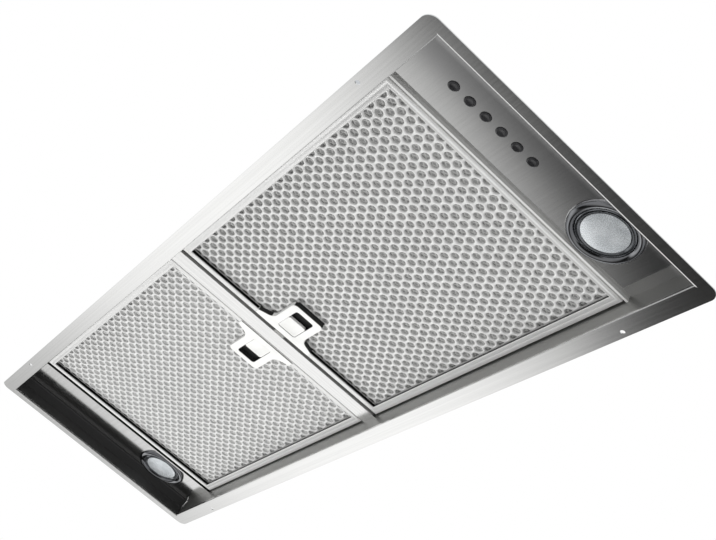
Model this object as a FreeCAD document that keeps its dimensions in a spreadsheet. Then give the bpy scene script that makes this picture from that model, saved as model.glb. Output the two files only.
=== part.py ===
import FreeCAD
import Part

import math
import os

import Sketcher

# A range hood insert, looked at from below in use. The origin is the middle of the flange's
# underside, +X runs along the flange towards the push buttons and +Z points up into the cabinet.

sizes = {
    # Flange and the walls of the recess.
    "flange_length": 860,
    "flange_width": 285,
    "flange_corner": 9,
    "opening_bend": 1.9,
    "sheet_thickness": 1,
    "end_strip": 11.1,
    "side_strip": 16.7,
    "side_wall_height": 40,
    "end_wall_height": 10,
    "wall_slope_run": 27,
    "mount_hole_span": 680,
    "mount_hole_inset": 5.2,
    "mount_hole_radius": 2.1,
    # End panels with the lamps and the buttons.
    "panel_face": 21,
    "panel_length": 71.1,
    "panel_bend": 1.5,
    "panel_slope_run": 5.5,
    "panel_slope_drop": 8.5,
    "panel_lap": 2,
    "panel_hem": 2.2,
    "panel_hem_drop": 3.2,
    # Crossbar between the filters.
    "crossbar_width": 19,
    "crossbar_face": 17.5,
    "crossbar_height": 12.5,
    # Grease filters.
    "filter_bar_gap": 3,
    "filter_panel_gap": 2.8,
    "filter_side_gap": 1.5,
    "filter_face": 18.8,
    "filter_depth": 9,
    "filter_end_bar": 6.4,
    "filter_side_bar": 8.5,
    "filter_sheet": 0.8,
    "mesh_recess": 4.5,
    "mesh_thickness": 0.8,
    "mesh_pitch": 17.5,
    "mesh_rib": 2.2,
    "tab_spread": 170,
    "tab_width": 24,
    "tab_reach": 7,
    "tab_thickness": 1.5,
    "tab_clearance": 0.4,
    # Latch at the crossbar end of each filter.
    "latch_standoff": 0.8,
    "latch_foot_width": 66,
    "latch_foot_depth": 8,
    "latch_foot_start": 1.5,
    "latch_foot_chamfer": 4,
    "latch_width": 36,
    "latch_end_rim": 6.4,
    "latch_window_start": 9.5,
    "latch_window_length": 36,
    "latch_window_width": 20.8,
    "latch_floor": 0.6,
    "slider_length": 21,
    "slider_sink": 0.6,
    "tongue_width": 12,
    "tongue_thickness": 1.4,
    "tongue_length": 30,
    "tongue_clearance": 0.4,
    "slide_clearance": 0.3,
    # Lamps.
    "lamp_from_end": 38,
    "lamp_offset": 67,
    "lamp_hole_radius": 27,
    "bezel_radius": 30.5,
    "bezel_height": 3.4,
    "gasket_radius": 23.3,
    "lens_radius": 19.2,
    "lens_thickness": 2.6,
    "housing_radius": 26.5,
    "housing_shoulder": 6,
    "housing_height": 17,
    "housing_top_radius": 16,
    "housing_wall": 1.2,
    "bulb_radius": 9,
    "bulb_height": 8,
    # Push buttons, the switch block behind them and its board.
    "button_from_end": 38.4,
    "button_first": 9.1,
    "button_pitch": 15.76,
    "button_radius": 4.4,
    "button_clearance": 0.3,
    "button_proud": 1,
    "button_collar_radius": 5.6,
    "button_collar_lift": 0.5,
    "button_collar_height": 1,
    "button_stem_radius": 2,
    "button_travel": 2,
    "switch_gap": 2,
    "switch_height": 12,
    "switch_depth": 18,
    "switch_leg": 2.2,
    "switch_margin": 7.1,
    "switch_bore_depth": 6,
    "stem_engagement": 0.6,
    "board_thickness": 1.6,
    "board_margin": 2,
    # Plenum above the filters.
    "plenum_past_panel": 6.2,
    "plenum_top": 75,
    "plenum_foot": 30,
    # Tower around the blower.
    "tower_length": 300,
    "tower_width": 208,
    "tower_top": 216,
    # Blower.
    "blower_axis_back": 34,
    "blower_axis_height": 140,
    "scroll_length": 90,
    "scroll_wall": 1.5,
    "scroll_start_radius": 52,
    "scroll_end_radius": 80,
    "scroll_inlet_radius": 40,
    "outlet_plate_half": 80,
    "impeller_radius": 46,
    "impeller_ring": 8,
    "impeller_side_gap": 5.5,
    "impeller_disc": 4,
    "hub_radius": 10,
    "blade_count": 24,
    "blade_thickness": 1.2,
    "shaft_radius": 4,
    "shaft_end": 42,
    "motor_radius": 36,
    "motor_length": 60,
    "motor_face": 60,
    "motor_bore_clearance": 0.3,
    "bracket_thickness": 3,
    "bracket_height": 40,
    # Duct collar and its non-return flaps.
    "collar_radius": 75,
    "collar_wall": 1,
    "collar_height": 45,
    "collar_foot_radius": 88,
    "collar_foot_thickness": 1.2,
    "flap_pin_height": 17,
    "flap_pin_radius": 1.5,
    "flap_clearance": 1.5,
    "flap_thickness": 0.8,
    "flap_split": 4,
    "knuckle_radius": 3.2,
    "knuckle_clearance": 0.3,
    "knuckle_length": 20,
    "knuckle_pitch": 26,
    # Terminal box with its cable gland.
    "terminal_start": 190,
    "terminal_length": 60,
    "terminal_back": 50,
    "terminal_width": 60,
    "terminal_height": 32,
    "terminal_wall": 2,
    "gland_radius": 9,
    "gland_length": 12,
    "gland_thread_radius": 7,
    "gland_bore": 4,
    "gland_clearance": 0.1,
    # Screws.
    "screw_shank": 1.6,
    "screw_clearance": 0.15,
    "screw_head": 3.6,
    "screw_head_height": 1.8,
    "screw_length": 5,
    "casing_screw_height": 35,
    "casing_screw_inner": 100,
    "casing_screw_outer": 300,
    "collar_screw_circle": 81.5,
}

doc = FreeCAD.newDocument("RangeHoodInsert")
sheet = doc.addObject("Spreadsheet::Sheet", "Sizes")
parts = []


class Size:
    # A length that knows its number and the sheet expression that gives it.
    def __init__(self, number, text):
        self.number = number
        self.text = text

    def __add__(self, other):
        return Size(self.number + number_of(other), f"({self.text} + {text_of(other)})")

    def __sub__(self, other):
        return Size(self.number - number_of(other), f"({self.text} - {text_of(other)})")

    def __mul__(self, factor):
        return Size(self.number * number_of(factor), f"({self.text} * {text_of(factor)})")

    def __truediv__(self, factor):
        return Size(self.number / number_of(factor), f"({self.text} / {text_of(factor)})")

    def __neg__(self):
        return self * -1


def number_of(value):
    return value.number if isinstance(value, Size) else float(value)


def text_of(value):
    return value.text if isinstance(value, Size) else f"({float(value)})"


def fill_sheet():
    for row, (alias, number) in enumerate(sizes.items(), start=1):
        sheet.set(f"A{row}", alias.replace("_", " "))
        sheet.set(f"B{row}", str(number))
        sheet.setAlias(f"B{row}", alias)
    doc.recompute()
    return {alias: Size(float(sheet.get(alias)), f"Sizes.{alias}") for alias in sizes}


given = fill_sheet()


# Lengths that several sub-parts share, worked out from the sheet.
wall = given["sheet_thickness"]
flange_x = given["flange_length"] / 2
flange_y = given["flange_width"] / 2
opening_x = flange_x - given["end_strip"]
opening_y = flange_y - given["side_strip"]
panel_low = given["panel_face"]
panel_high = panel_low + wall
panel_start = opening_x - given["panel_length"]
crossbar_x = given["crossbar_width"] / 2
filter_low = crossbar_x + given["filter_bar_gap"]
filter_high = panel_start - given["filter_panel_gap"]
filter_y = opening_y - given["filter_side_gap"]
filter_face = given["filter_face"]
filter_top = filter_face + given["filter_depth"]
mesh_low = filter_face + given["mesh_recess"]
mesh_high = mesh_low + given["mesh_thickness"]
latch_face = filter_face - given["latch_standoff"]
latch_ceiling = mesh_low - given["latch_floor"]
tongue_high = latch_ceiling - given["slide_clearance"]
tongue_low = tongue_high - given["tongue_thickness"]
window_low = filter_low + given["latch_window_start"]
lamp_x = opening_x - given["lamp_from_end"]
button_x = opening_x - given["button_from_end"]
switch_low = panel_high + given["button_collar_lift"] + given["button_collar_height"]
switch_low = switch_low + given["button_travel"] + given["switch_gap"]
switch_high = switch_low + given["switch_height"]
plenum_x = panel_start + given["plenum_past_panel"]
plenum_high = given["plenum_top"]
cover_high = plenum_high + wall
tower_x = given["tower_length"] / 2
tower_y = given["tower_width"] / 2
tower_high = given["tower_top"]
roof_high = tower_high + wall
axis_y = -given["blower_axis_back"]
axis_z = given["blower_axis_height"]
collar_inner = given["collar_radius"] - given["collar_wall"]
foot_high = roof_high + given["collar_foot_thickness"]
pin_z = roof_high + given["flap_pin_height"]


# Helpers.
def bind(item, prop, value):
    item.setExpression(prop, text_of(value))


def place(item, x, y, z):
    for axis, value in zip("xyz", (x, y, z)):
        bind(item, f"Placement.Base.{axis}", value)


def box(name, x, y, z):
    item = doc.addObject("Part::Box", name)
    for prop, (low, high) in zip(("Length", "Width", "Height"), (x, y, z)):
        bind(item, prop, high - low)
    place(item, x[0], y[0], z[0])
    return item


turns = {
    "x": FreeCAD.Rotation(FreeCAD.Vector(0, 1, 0), 90),
    "y": FreeCAD.Rotation(FreeCAD.Vector(1, 0, 0), -90),
    "z": FreeCAD.Rotation(),
}


def rod(name, axis, centre, radius, low, high):
    # A cylinder along one axis, from low to high; centre gives the other two coordinates.
    item = doc.addObject("Part::Cylinder", name)
    item.Placement = FreeCAD.Placement(FreeCAD.Vector(), turns[axis])
    bind(item, "Radius", radius)
    bind(item, "Height", high - low)
    base = list(centre)
    base.insert("xyz".index(axis), low)
    place(item, *base)
    return item


def fuse(name, *shapes):
    item = doc.addObject("Part::MultiFuse", name)
    item.Shapes = list(shapes)
    return item


def group(name, *shapes):
    item = doc.addObject("Part::Compound", name)
    item.Links = list(shapes)
    return item


def cut(name, base, *tools):
    item = doc.addObject("Part::Cut", name)
    item.Base = base
    item.Tool = tools[0] if len(tools) == 1 else fuse(f"{name}_cutters", *tools)
    return item


def span(side, low, high):
    # The same stretch on the +X side, or mirrored to the -X side.
    return (low, high) if side > 0 else (-high, -low)


def mirrored(value):
    return (-value, value)


def design(name):
    return doc.addObject("PartDesign::Body", name)


def pin_coordinate(sketch, kind, index, value):
    if number_of(value) == 0:
        axis = -2 if kind == "DistanceX" else -1
        sketch.addConstraint(Sketcher.Constraint("PointOnObject", index, 1, axis))
        return
    made = Sketcher.Constraint(kind, -1, 1, index, 1, number_of(value))
    bind(sketch, f"Constraints[{sketch.addConstraint(made)}]", value)


def add_loop(sketch, points):
    first = sketch.GeometryCount
    count = len(points)
    corners = [FreeCAD.Vector(number_of(u), number_of(v), 0) for u, v in points]
    for here, there in zip(corners, corners[1:] + corners[:1]):
        sketch.addGeometry(Part.LineSegment(here, there))
    for index in range(count):
        joined = ("Coincident", first + index, 2, first + (index + 1) % count, 1)
        sketch.addConstraint(Sketcher.Constraint(*joined))
    for index, (u, v) in enumerate(points):
        pin_coordinate(sketch, "DistanceX", first + index, u)
        pin_coordinate(sketch, "DistanceY", first + index, v)


def add_circle(sketch, u, v, radius):
    centre = FreeCAD.Vector(number_of(u), number_of(v), 0)
    circle = Part.Circle(centre, FreeCAD.Vector(0, 0, 1), number_of(radius))
    index = sketch.addGeometry(circle)
    made = sketch.addConstraint(Sketcher.Constraint("Radius", index, number_of(radius)))
    bind(sketch, f"Constraints[{made}]", radius)
    for kind, value in (("DistanceX", u), ("DistanceY", v)):
        made = Sketcher.Constraint(kind, -1, 1, index, 3, number_of(value))
        bind(sketch, f"Constraints[{sketch.addConstraint(made)}]", value)


def draw(body, role, name, loops=(), circles=(), lift=None):
    # A sketch on one of the body's own origin planes, lifted along the plane's normal.
    sketch = body.newObject("Sketcher::SketchObject", name)
    plane = next(item for item in body.Origin.OriginFeatures if item.Role == role)
    sketch.AttachmentSupport = [(plane, "")]
    sketch.MapMode = "FlatFace"
    if lift is not None:
        bind(sketch, "AttachmentOffset.Base.z", lift)
    for points in loops:
        add_loop(sketch, points)
    for u, v, radius in circles:
        add_circle(sketch, u, v, radius)
    return sketch


def rectangle(x, y):
    return [(x[0], y[0]), (x[1], y[0]), (x[1], y[1]), (x[0], y[1])]


def pad(body, sketch, length, both_ways=False):
    item = body.newObject("PartDesign::Pad", f"{sketch.Name}_pad")
    item.Profile = sketch
    bind(item, "Length", length)
    if both_ways:
        item.SideType = "Symmetric"
    doc.recompute()
    return item


def pierce(body, sketch):
    # Cuts the sketch through the whole body, both ways, and proves that it took material away.
    before = body.Shape.Volume
    item = body.newObject("PartDesign::Pocket", f"{sketch.Name}_cut")
    item.Profile = sketch
    item.Type = "ThroughAll"
    item.SideType = "Symmetric"
    doc.recompute()
    if not body.Shape.Volume < before:
        raise ValueError(f"{sketch.Name} cuts nothing")
    return item


def spin(name, profile, x, y, z, axis="z"):
    # A turned piece: profile is (radius, height) about the axis through x, y, z.
    body = design(name)
    sketch = draw(body, "XZ_Plane", f"{name}_profile", [profile])
    item = body.newObject("PartDesign::Revolution", f"{name}_turned")
    item.Profile = sketch
    item.ReferenceAxis = (sketch, ["V_Axis"])
    item.Angle = 360
    body.Placement = FreeCAD.Placement(FreeCAD.Vector(), turns[axis])
    place(body, x, y, z)
    doc.recompute()
    return body


def round_edges(body, radius, wanted):
    last = body.Tip
    picked = [f"Edge{index}" for index, edge in enumerate(last.Shape.Edges, start=1)
              if wanted(edge)]
    item = body.newObject("PartDesign::Fillet", f"{last.Name}_round{len(body.Group)}")
    item.Base = (last, picked)
    bind(item, "Radius", radius)
    doc.recompute()


def near(value, target):
    return abs(value - number_of(target)) < 1e-4


def finish(item, label):
    item.Label = label
    parts.append(item)


# Fixed sheet metal around the recess.
def casing_screw_spots():
    spread = (given["casing_screw_inner"], given["casing_screw_outer"])
    return [distance * sign for distance in spread for sign in (-1, 1)]


def screw_hole():
    return given["screw_shank"] + given["screw_clearance"]


def is_flange_corner(edge):
    first, last = edge.Vertexes[0], edge.Vertexes[-1]
    upright = near(first.X, last.X) and near(first.Y, last.Y)
    return upright and near(abs(first.X), flange_x) and near(abs(first.Y), flange_y)


def is_opening_rim(edge):
    return all(near(end.Z, 0) and near(abs(end.X), opening_x) and near(abs(end.Y), opening_y)
               for end in edge.Vertexes)


def mounting_flange():
    body = design("mounting_flange")
    outer_x = opening_x + wall
    low = given["end_wall_height"]
    high = given["side_wall_height"]
    shoulder = outer_x - given["wall_slope_run"]
    profile = [(-outer_x, 0), (outer_x, 0), (outer_x, low),
               (shoulder, high), (-shoulder, high), (-outer_x, low)]
    pad(body, draw(body, "XZ_Plane", "wall_outline", [profile]),
        (opening_y + wall) * 2, both_ways=True)
    plate = rectangle(mirrored(flange_x), mirrored(flange_y))
    pad(body, draw(body, "XY_Plane", "flange_outline", [plate]), wall)
    round_edges(body, given["flange_corner"], is_flange_corner)
    opening = rectangle(mirrored(opening_x), mirrored(opening_y))
    pierce(body, draw(body, "XY_Plane", "opening_outline", [opening]))
    round_edges(body, given["opening_bend"], is_opening_rim)
    hole_x = given["mount_hole_span"] / 2
    hole_y = flange_y - given["mount_hole_inset"]
    holes = [(x, y, given["mount_hole_radius"]) for x in mirrored(hole_x)
             for y in mirrored(hole_y)]
    pierce(body, draw(body, "XY_Plane", "flange_holes", circles=holes))
    screws = [(x, given["casing_screw_height"], screw_hole()) for x in casing_screw_spots()]
    pierce(body, draw(body, "XZ_Plane", "wall_screw_holes", circles=screws))
    finish(body, "mounting_flange")


def end_panel(label, side, holes):
    # A flat panel with a hem at the filter, sloped down at the end to lap the recess wall.
    body = design(label)
    hem = panel_start + given["panel_hem"]
    hem_low = panel_low - given["panel_hem_drop"]
    inside = opening_x - wall
    fold = inside - given["panel_slope_run"]
    lap_high = panel_low - given["panel_slope_drop"]
    shift = wall / 2
    profile = [(panel_start, hem_low), (hem, hem_low), (hem, panel_low), (fold, panel_low),
               (inside, lap_high), (inside, given["panel_lap"]),
               (opening_x, given["panel_lap"]), (opening_x, lap_high + shift),
               (fold + shift, panel_high), (panel_start, panel_high)]
    profile = [(x * side, z) for x, z in profile]
    pad(body, draw(body, "XZ_Plane", f"{label}_profile", [profile]), opening_y * 2,
        both_ways=True)
    round_edges(body, given["panel_bend"], lambda edge: all(
        near(abs(end.X), fold) and near(end.Z, panel_low) for end in edge.Vertexes))
    round_edges(body, given["panel_bend"] + wall, lambda edge: all(
        near(abs(end.X), fold + shift) and near(end.Z, panel_high) for end in edge.Vertexes))
    pierce(body, draw(body, "XY_Plane", f"{label}_holes", circles=holes))
    finish(body, label)


def lamp_hole(side):
    return (lamp_x * side, given["lamp_offset"], given["lamp_hole_radius"])


def button_y(index):
    return -(given["button_first"] + given["button_pitch"] * index)


def crossbar():
    body = design("crossbar")
    low = given["crossbar_face"]
    high = low + given["crossbar_height"]
    inner = crossbar_x - wall
    profile = [(-crossbar_x, low), (crossbar_x, low), (crossbar_x, high), (inner, high),
               (inner, low + wall), (-inner, low + wall), (-inner, high), (-crossbar_x, high)]
    pad(body, draw(body, "XZ_Plane", "crossbar_profile", [profile]), opening_y * 2,
        both_ways=True)
    finish(body, "crossbar")


# Grease filters with their latches.
def filter_frame(label, side):
    sheet_metal = given["filter_sheet"]
    end_bar = given["filter_end_bar"]
    bar_y = filter_y - given["filter_side_bar"]
    slot_y = given["tongue_width"] / 2 + given["tongue_clearance"]
    slot_low = tongue_low - given["slide_clearance"]
    blank = box(f"{label}_blank", span(side, filter_low, filter_high), mirrored(filter_y),
                (filter_face, filter_top))
    opening = box(f"{label}_opening", span(side, filter_low + end_bar, filter_high - end_bar),
                  mirrored(bar_y), (filter_face, filter_top))
    seat = box(f"{label}_seat", span(side, filter_low + sheet_metal, filter_high - sheet_metal),
               mirrored(filter_y - sheet_metal), (mesh_low, filter_top - sheet_metal))
    slot = box(f"{label}_slot", span(side, filter_low, filter_low + end_bar),
               mirrored(slot_y), (slot_low, latch_ceiling))
    finish(cut(label, blank, opening, seat, slot), label)


def hexagon_tool(x, y, low, height, radius):
    corners = [FreeCAD.Vector(x + radius * math.cos(turn * math.pi / 3),
                              y + radius * math.sin(turn * math.pi / 3), low)
               for turn in range(7)]
    return Part.Face(Part.makePolygon(corners)).extrude(FreeCAD.Vector(0, 0, height))


def hexagon_centres(low_x, high_x, half_y, pitch, radius):
    # Columns of hexagons, every other column half a pitch along, kept clear of the edges.
    column = pitch * math.sqrt(3) / 2
    room = (high_x - low_x) / 2 - radius
    for step in range(-int(room / column), int(room / column) + 1):
        shift = pitch / 2 if step % 2 else 0
        rows = int((half_y - radius + shift) / pitch)
        for row in range(-rows, rows + 1):
            y = row * pitch + shift
            if abs(y) + radius < half_y:
                yield (low_x + high_x) / 2 + step * column, y


def filter_mesh(label, side):
    # A flat expanded-metal sheet, one holed face, seated in the frame's channel.
    sheet_metal = given["filter_sheet"].number
    low = mesh_low.number
    thickness = given["mesh_thickness"].number
    pitch = given["mesh_pitch"].number
    outer_low = filter_low.number + sheet_metal
    outer_high = filter_high.number - sheet_metal
    outer_y = filter_y.number - sheet_metal
    bar = given["filter_end_bar"].number
    hole_radius = (pitch - given["mesh_rib"].number) / math.sqrt(3)
    centres = hexagon_centres(filter_low.number + bar, filter_high.number - bar,
                              filter_y.number - given["filter_side_bar"].number,
                              pitch, hole_radius)
    tools = [hexagon_tool(x, y, low, thickness, hole_radius) for x, y in centres]
    start = FreeCAD.Vector(outer_low, -outer_y, low)
    plate = Part.makeBox(outer_high - outer_low, 2 * outer_y, thickness, start)
    shape = plate.cut(tools)
    if side < 0:
        shape = shape.mirror(FreeCAD.Vector(), FreeCAD.Vector(1, 0, 0))
    item = doc.addObject("Part::Feature", label)
    item.Shape = shape
    item.Placement = FreeCAD.Placement()
    finish(item, label)


def filter_core(label, side):
    sheet_metal = given["filter_sheet"]
    finish(box(label, span(side, filter_low + sheet_metal, filter_high - sheet_metal),
               mirrored(filter_y - sheet_metal), (mesh_high, filter_top - sheet_metal)), label)


def pivot_tabs(label, side):
    # Two hooks at the panel end that rest over the panel's edge and carry the open filter.
    low = panel_high + given["tab_clearance"]
    thickness = given["tab_thickness"]
    made = []
    for index, sign in enumerate((-1, 1)):
        middle = given["tab_spread"] / 2 * sign
        y = (middle - given["tab_width"] / 2, middle + given["tab_width"] / 2)
        leg = box(f"{label}_leg{index}", span(side, filter_high, filter_high + thickness),
                  y, (low, filter_top))
        hook = box(f"{label}_hook{index}",
                   span(side, filter_high, filter_high + given["tab_reach"]),
                   y, (low, low + thickness))
        made.append(fuse(f"{label}_tab{index}", leg, hook))
    finish(group(label, *made), label)


def latch_plate(label, side):
    foot = design(f"{label}_foot")
    start = filter_low + given["latch_foot_start"]
    end = start + given["latch_foot_depth"]
    half = given["latch_foot_width"] / 2
    chamfer = given["latch_foot_chamfer"]
    outline = [(start, -half), (end - chamfer, -half), (end, chamfer - half),
               (end, half - chamfer), (end - chamfer, half), (start, half)]
    outline = [(x * side, y) for x, y in outline]
    pad(foot, draw(foot, "XY_Plane", f"{label}_outline", [outline], lift=latch_face),
        given["latch_standoff"])
    inner = filter_low + given["filter_end_bar"]
    window_high = window_low + given["latch_window_length"]
    slot_y = given["tongue_width"] / 2 + given["tongue_clearance"]
    block = box(f"{label}_block", span(side, inner, window_high + given["latch_end_rim"]),
                mirrored(given["latch_width"] / 2), (latch_face, mesh_low))
    window = box(f"{label}_window", span(side, window_low, window_high),
                 mirrored(given["latch_window_width"] / 2), (latch_face, latch_ceiling))
    slot = box(f"{label}_slot", span(side, inner, window_low), mirrored(slot_y),
               (tongue_low - given["slide_clearance"], latch_ceiling))
    finish(cut(label, fuse(f"{label}_solid", foot, block), window, slot), label)


def latch_slider(label, side):
    start = window_low + given["slide_clearance"]
    tongue_start = crossbar_x + given["tongue_clearance"]
    thumb = box(f"{label}_thumb", span(side, start, start + given["slider_length"]),
                mirrored(given["latch_window_width"] / 2 - given["slide_clearance"]),
                (latch_face + given["slider_sink"], tongue_low))
    tongue = box(f"{label}_tongue",
                 span(side, tongue_start, tongue_start + given["tongue_length"]),
                 mirrored(given["tongue_width"] / 2), (tongue_low, tongue_high))
    finish(fuse(label, thumb, tongue), label)


def grease_filter(name, side):
    filter_frame(f"{name}_frame", side)
    filter_mesh(f"{name}_front_mesh", side)
    filter_core(f"{name}_core", side)
    pivot_tabs(f"{name}_pivot_tabs", side)
    latch_plate(f"{name}_latch_plate", side)
    latch_slider(f"{name}_latch_slider", side)


# Lamps.
def lamp(name, side):
    x = lamp_x * side
    y = given["lamp_offset"]
    outer = given["bezel_radius"]
    gasket = given["gasket_radius"]
    lens = given["lens_radius"]
    drop = given["bezel_height"]
    housing = given["housing_radius"]
    thin = given["housing_wall"]
    shoulder = given["housing_shoulder"]
    high = given["housing_height"]
    top = given["housing_top_radius"]
    ceiling = high - thin
    bezel = [(gasket, -drop * 0.8), (gasket + 1.5, -drop), (outer - 2, -drop),
             (outer, -drop / 2), (outer, 0), (gasket, 0)]
    ring = [(lens, -drop * 0.55), (gasket, -drop * 0.7), (gasket, drop / 2), (lens, drop / 2)]
    glass = [(0, -drop * 0.7), (lens * 0.6, -drop * 0.65), (lens, -drop * 0.45),
             (lens, given["lens_thickness"] - drop * 0.45),
             (0, given["lens_thickness"] - drop * 0.45)]
    can = [(gasket, 0), (housing, 0), (housing, shoulder), (top, high), (0, high),
           (0, ceiling), (top - thin, ceiling), (gasket, shoulder)]
    finish(spin(f"{name}_bezel", bezel, x, y, panel_low), f"{name}_bezel")
    finish(spin(f"{name}_gasket", ring, x, y, panel_low), f"{name}_gasket")
    finish(spin(f"{name}_lens", glass, x, y, panel_low), f"{name}_lens")
    finish(spin(f"{name}_housing", can, x, y, panel_low), f"{name}_housing")
    finish(rod(f"{name}_bulb", "z", (x, y), given["bulb_radius"],
               panel_low + ceiling - given["bulb_height"], panel_low + ceiling), f"{name}_bulb")


# Push buttons.
def push_button(label, index):
    radius = given["button_radius"]
    edge = given["button_proud"] * 0.15
    collar = given["button_collar_radius"]
    stem = given["button_stem_radius"]
    collar_low = wall + given["button_collar_lift"]
    collar_high = collar_low + given["button_collar_height"]
    stem_high = switch_low - panel_low + given["stem_engagement"]
    low = -given["button_proud"]
    profile = [(0, low), (radius - edge, low), (radius, low + edge), (radius, collar_low),
               (collar, collar_low), (collar, collar_high), (stem, collar_high),
               (stem, stem_high), (0, stem_high)]
    finish(spin(label, profile, button_x, button_y(index), panel_low), label)


def switch_outline():
    half = given["switch_depth"] / 2
    margin = given["switch_margin"] + given["switch_leg"]
    last = button_y(button_count - 1)
    return (button_x - half, button_x + half), (last - margin, button_y(0) + margin)


def switch_block():
    x, y = switch_outline()
    leg = given["switch_leg"]
    block = box("switch_block_body", x, y, (switch_low, switch_high))
    legs = [box("switch_leg_low", x, (y[0], y[0] + leg), (panel_high, switch_low)),
            box("switch_leg_high", x, (y[1] - leg, y[1]), (panel_high, switch_low))]
    radius = given["button_stem_radius"] + given["button_clearance"]
    bores = [rod(f"switch_bore{index}", "z", (button_x, button_y(index)), radius, switch_low,
                 switch_low + given["switch_bore_depth"]) for index in range(button_count)]
    finish(cut("switch_block", fuse("switch_solid", block, *legs), *bores), "switch_block")


def circuit_board():
    x, y = switch_outline()
    margin = given["board_margin"]
    finish(box("circuit_board", (x[0] - margin, x[1] + margin), (y[0] - margin, y[1] + margin),
               (switch_high, switch_high + given["board_thickness"])), "circuit_board")


# Plenum above the filters and the tower around the blower.
def plenum_side(label, side):
    y = span(side, opening_y - wall, opening_y)
    plate = box(f"{label}_plate", mirrored(plenum_x), y, (given["plenum_foot"], plenum_high))
    holes = [rod(f"{label}_hole{index}", "y", (x, given["casing_screw_height"]), screw_hole(),
                 y[0], y[1]) for index, x in enumerate(casing_screw_spots())]
    finish(cut(label, plate, *holes), label)


def plenum_end(label, side):
    finish(box(label, span(side, plenum_x - wall, plenum_x), mirrored(opening_y - wall),
               (panel_high, plenum_high)), label)


def plenum_cover():
    plate = box("plenum_cover_plate", mirrored(plenum_x), mirrored(opening_y),
                (plenum_high, cover_high))
    opening = box("plenum_cover_opening", mirrored(tower_x - wall), mirrored(tower_y - wall),
                  (plenum_high, cover_high))
    finish(cut("plenum_cover", plate, opening), "plenum_cover")


def tower():
    for label, side in (("tower_front", -1), ("tower_back", 1)):
        finish(box(label, mirrored(tower_x), span(side, tower_y - wall, tower_y),
                   (cover_high, tower_high)), label)
    for label, side in (("tower_left_end", -1), ("tower_right_end", 1)):
        finish(box(label, span(side, tower_x - wall, tower_x), mirrored(tower_y - wall),
                   (cover_high, tower_high)), label)
    roof = box("tower_roof_plate", mirrored(tower_x), mirrored(tower_y),
               (tower_high, roof_high))
    hole = rod("tower_roof_hole", "z", (wall * 0, wall * 0), collar_inner,
               tower_high, roof_high)
    screws = [rod(f"tower_roof_screw_hole{index}", "z", spot, screw_hole(),
                  tower_high, roof_high) for index, spot in enumerate(collar_screw_spots())]
    finish(cut("tower_roof", roof, hole, *screws), "tower_roof")


# Blower.
def spiral_outline(start, end, neck_y, grow):
    # Spiral from the cut-off, over the top and round underneath, then straight up the neck.
    cutoff = math.radians(60)
    sweep = 2 * math.pi - cutoff
    arcs = 10

    def point(turn):
        angle = cutoff + sweep * turn
        radius = start + (end - start) * turn + grow
        return FreeCAD.Vector(0, axis_y.number + radius * math.cos(angle),
                              axis_z.number + radius * math.sin(angle))

    edges = []
    for index in range(arcs):
        points = [point((index + part) / arcs) for part in (0, 0.5, 1)]
        edges.append(Part.Arc(*points).toShape())
    high = tower_high.number
    neck = [point(1), FreeCAD.Vector(0, point(1).y, high),
            FreeCAD.Vector(0, neck_y - grow, high), FreeCAD.Vector(0, neck_y - grow, point(0).z),
            point(0)]
    edges += [Part.makeLine(here, there) for here, there in zip(neck, neck[1:])
              if here.distanceToPoint(there) > 1e-6]
    return Part.Wire(edges)


def blower_scroll():
    start = given["scroll_start_radius"].number
    end = given["scroll_end_radius"].number
    half = given["scroll_length"].number / 2
    thin = given["scroll_wall"].number
    neck_y = axis_y.number + start * math.cos(math.radians(60))
    outside = Part.Face(spiral_outline(start, end, neck_y, 0))
    inside = Part.Face(spiral_outline(start, end, neck_y, -thin))
    solid = outside.extrude(FreeCAD.Vector(2 * half, 0, 0))
    hollow = inside.extrude(FreeCAD.Vector(2 * (half - thin), 0, 0))
    solid.translate(FreeCAD.Vector(-half, 0, 0))
    hollow.translate(FreeCAD.Vector(thin - half, 0, 0))
    inlet = Part.makeCylinder(given["scroll_inlet_radius"].number, 2 * half,
                              FreeCAD.Vector(-half, axis_y.number, axis_z.number),
                              FreeCAD.Vector(1, 0, 0))
    reach = given["outlet_plate_half"].number
    plate = Part.makeBox(2 * reach, 2 * reach, thin,
                         FreeCAD.Vector(-reach, -reach, tower_high.number - thin))
    holes = [Part.makeCylinder(screw_hole().number, thin, FreeCAD.Vector(
        x.number, y.number, tower_high.number - thin)) for x, y in collar_screw_spots()]
    item = doc.addObject("Part::Feature", "blower_scroll")
    item.Shape = solid.fuse(plate.cut(holes)).cut(hollow).cut(inlet)
    item.Placement = FreeCAD.Placement()
    finish(item, "blower_scroll")


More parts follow.
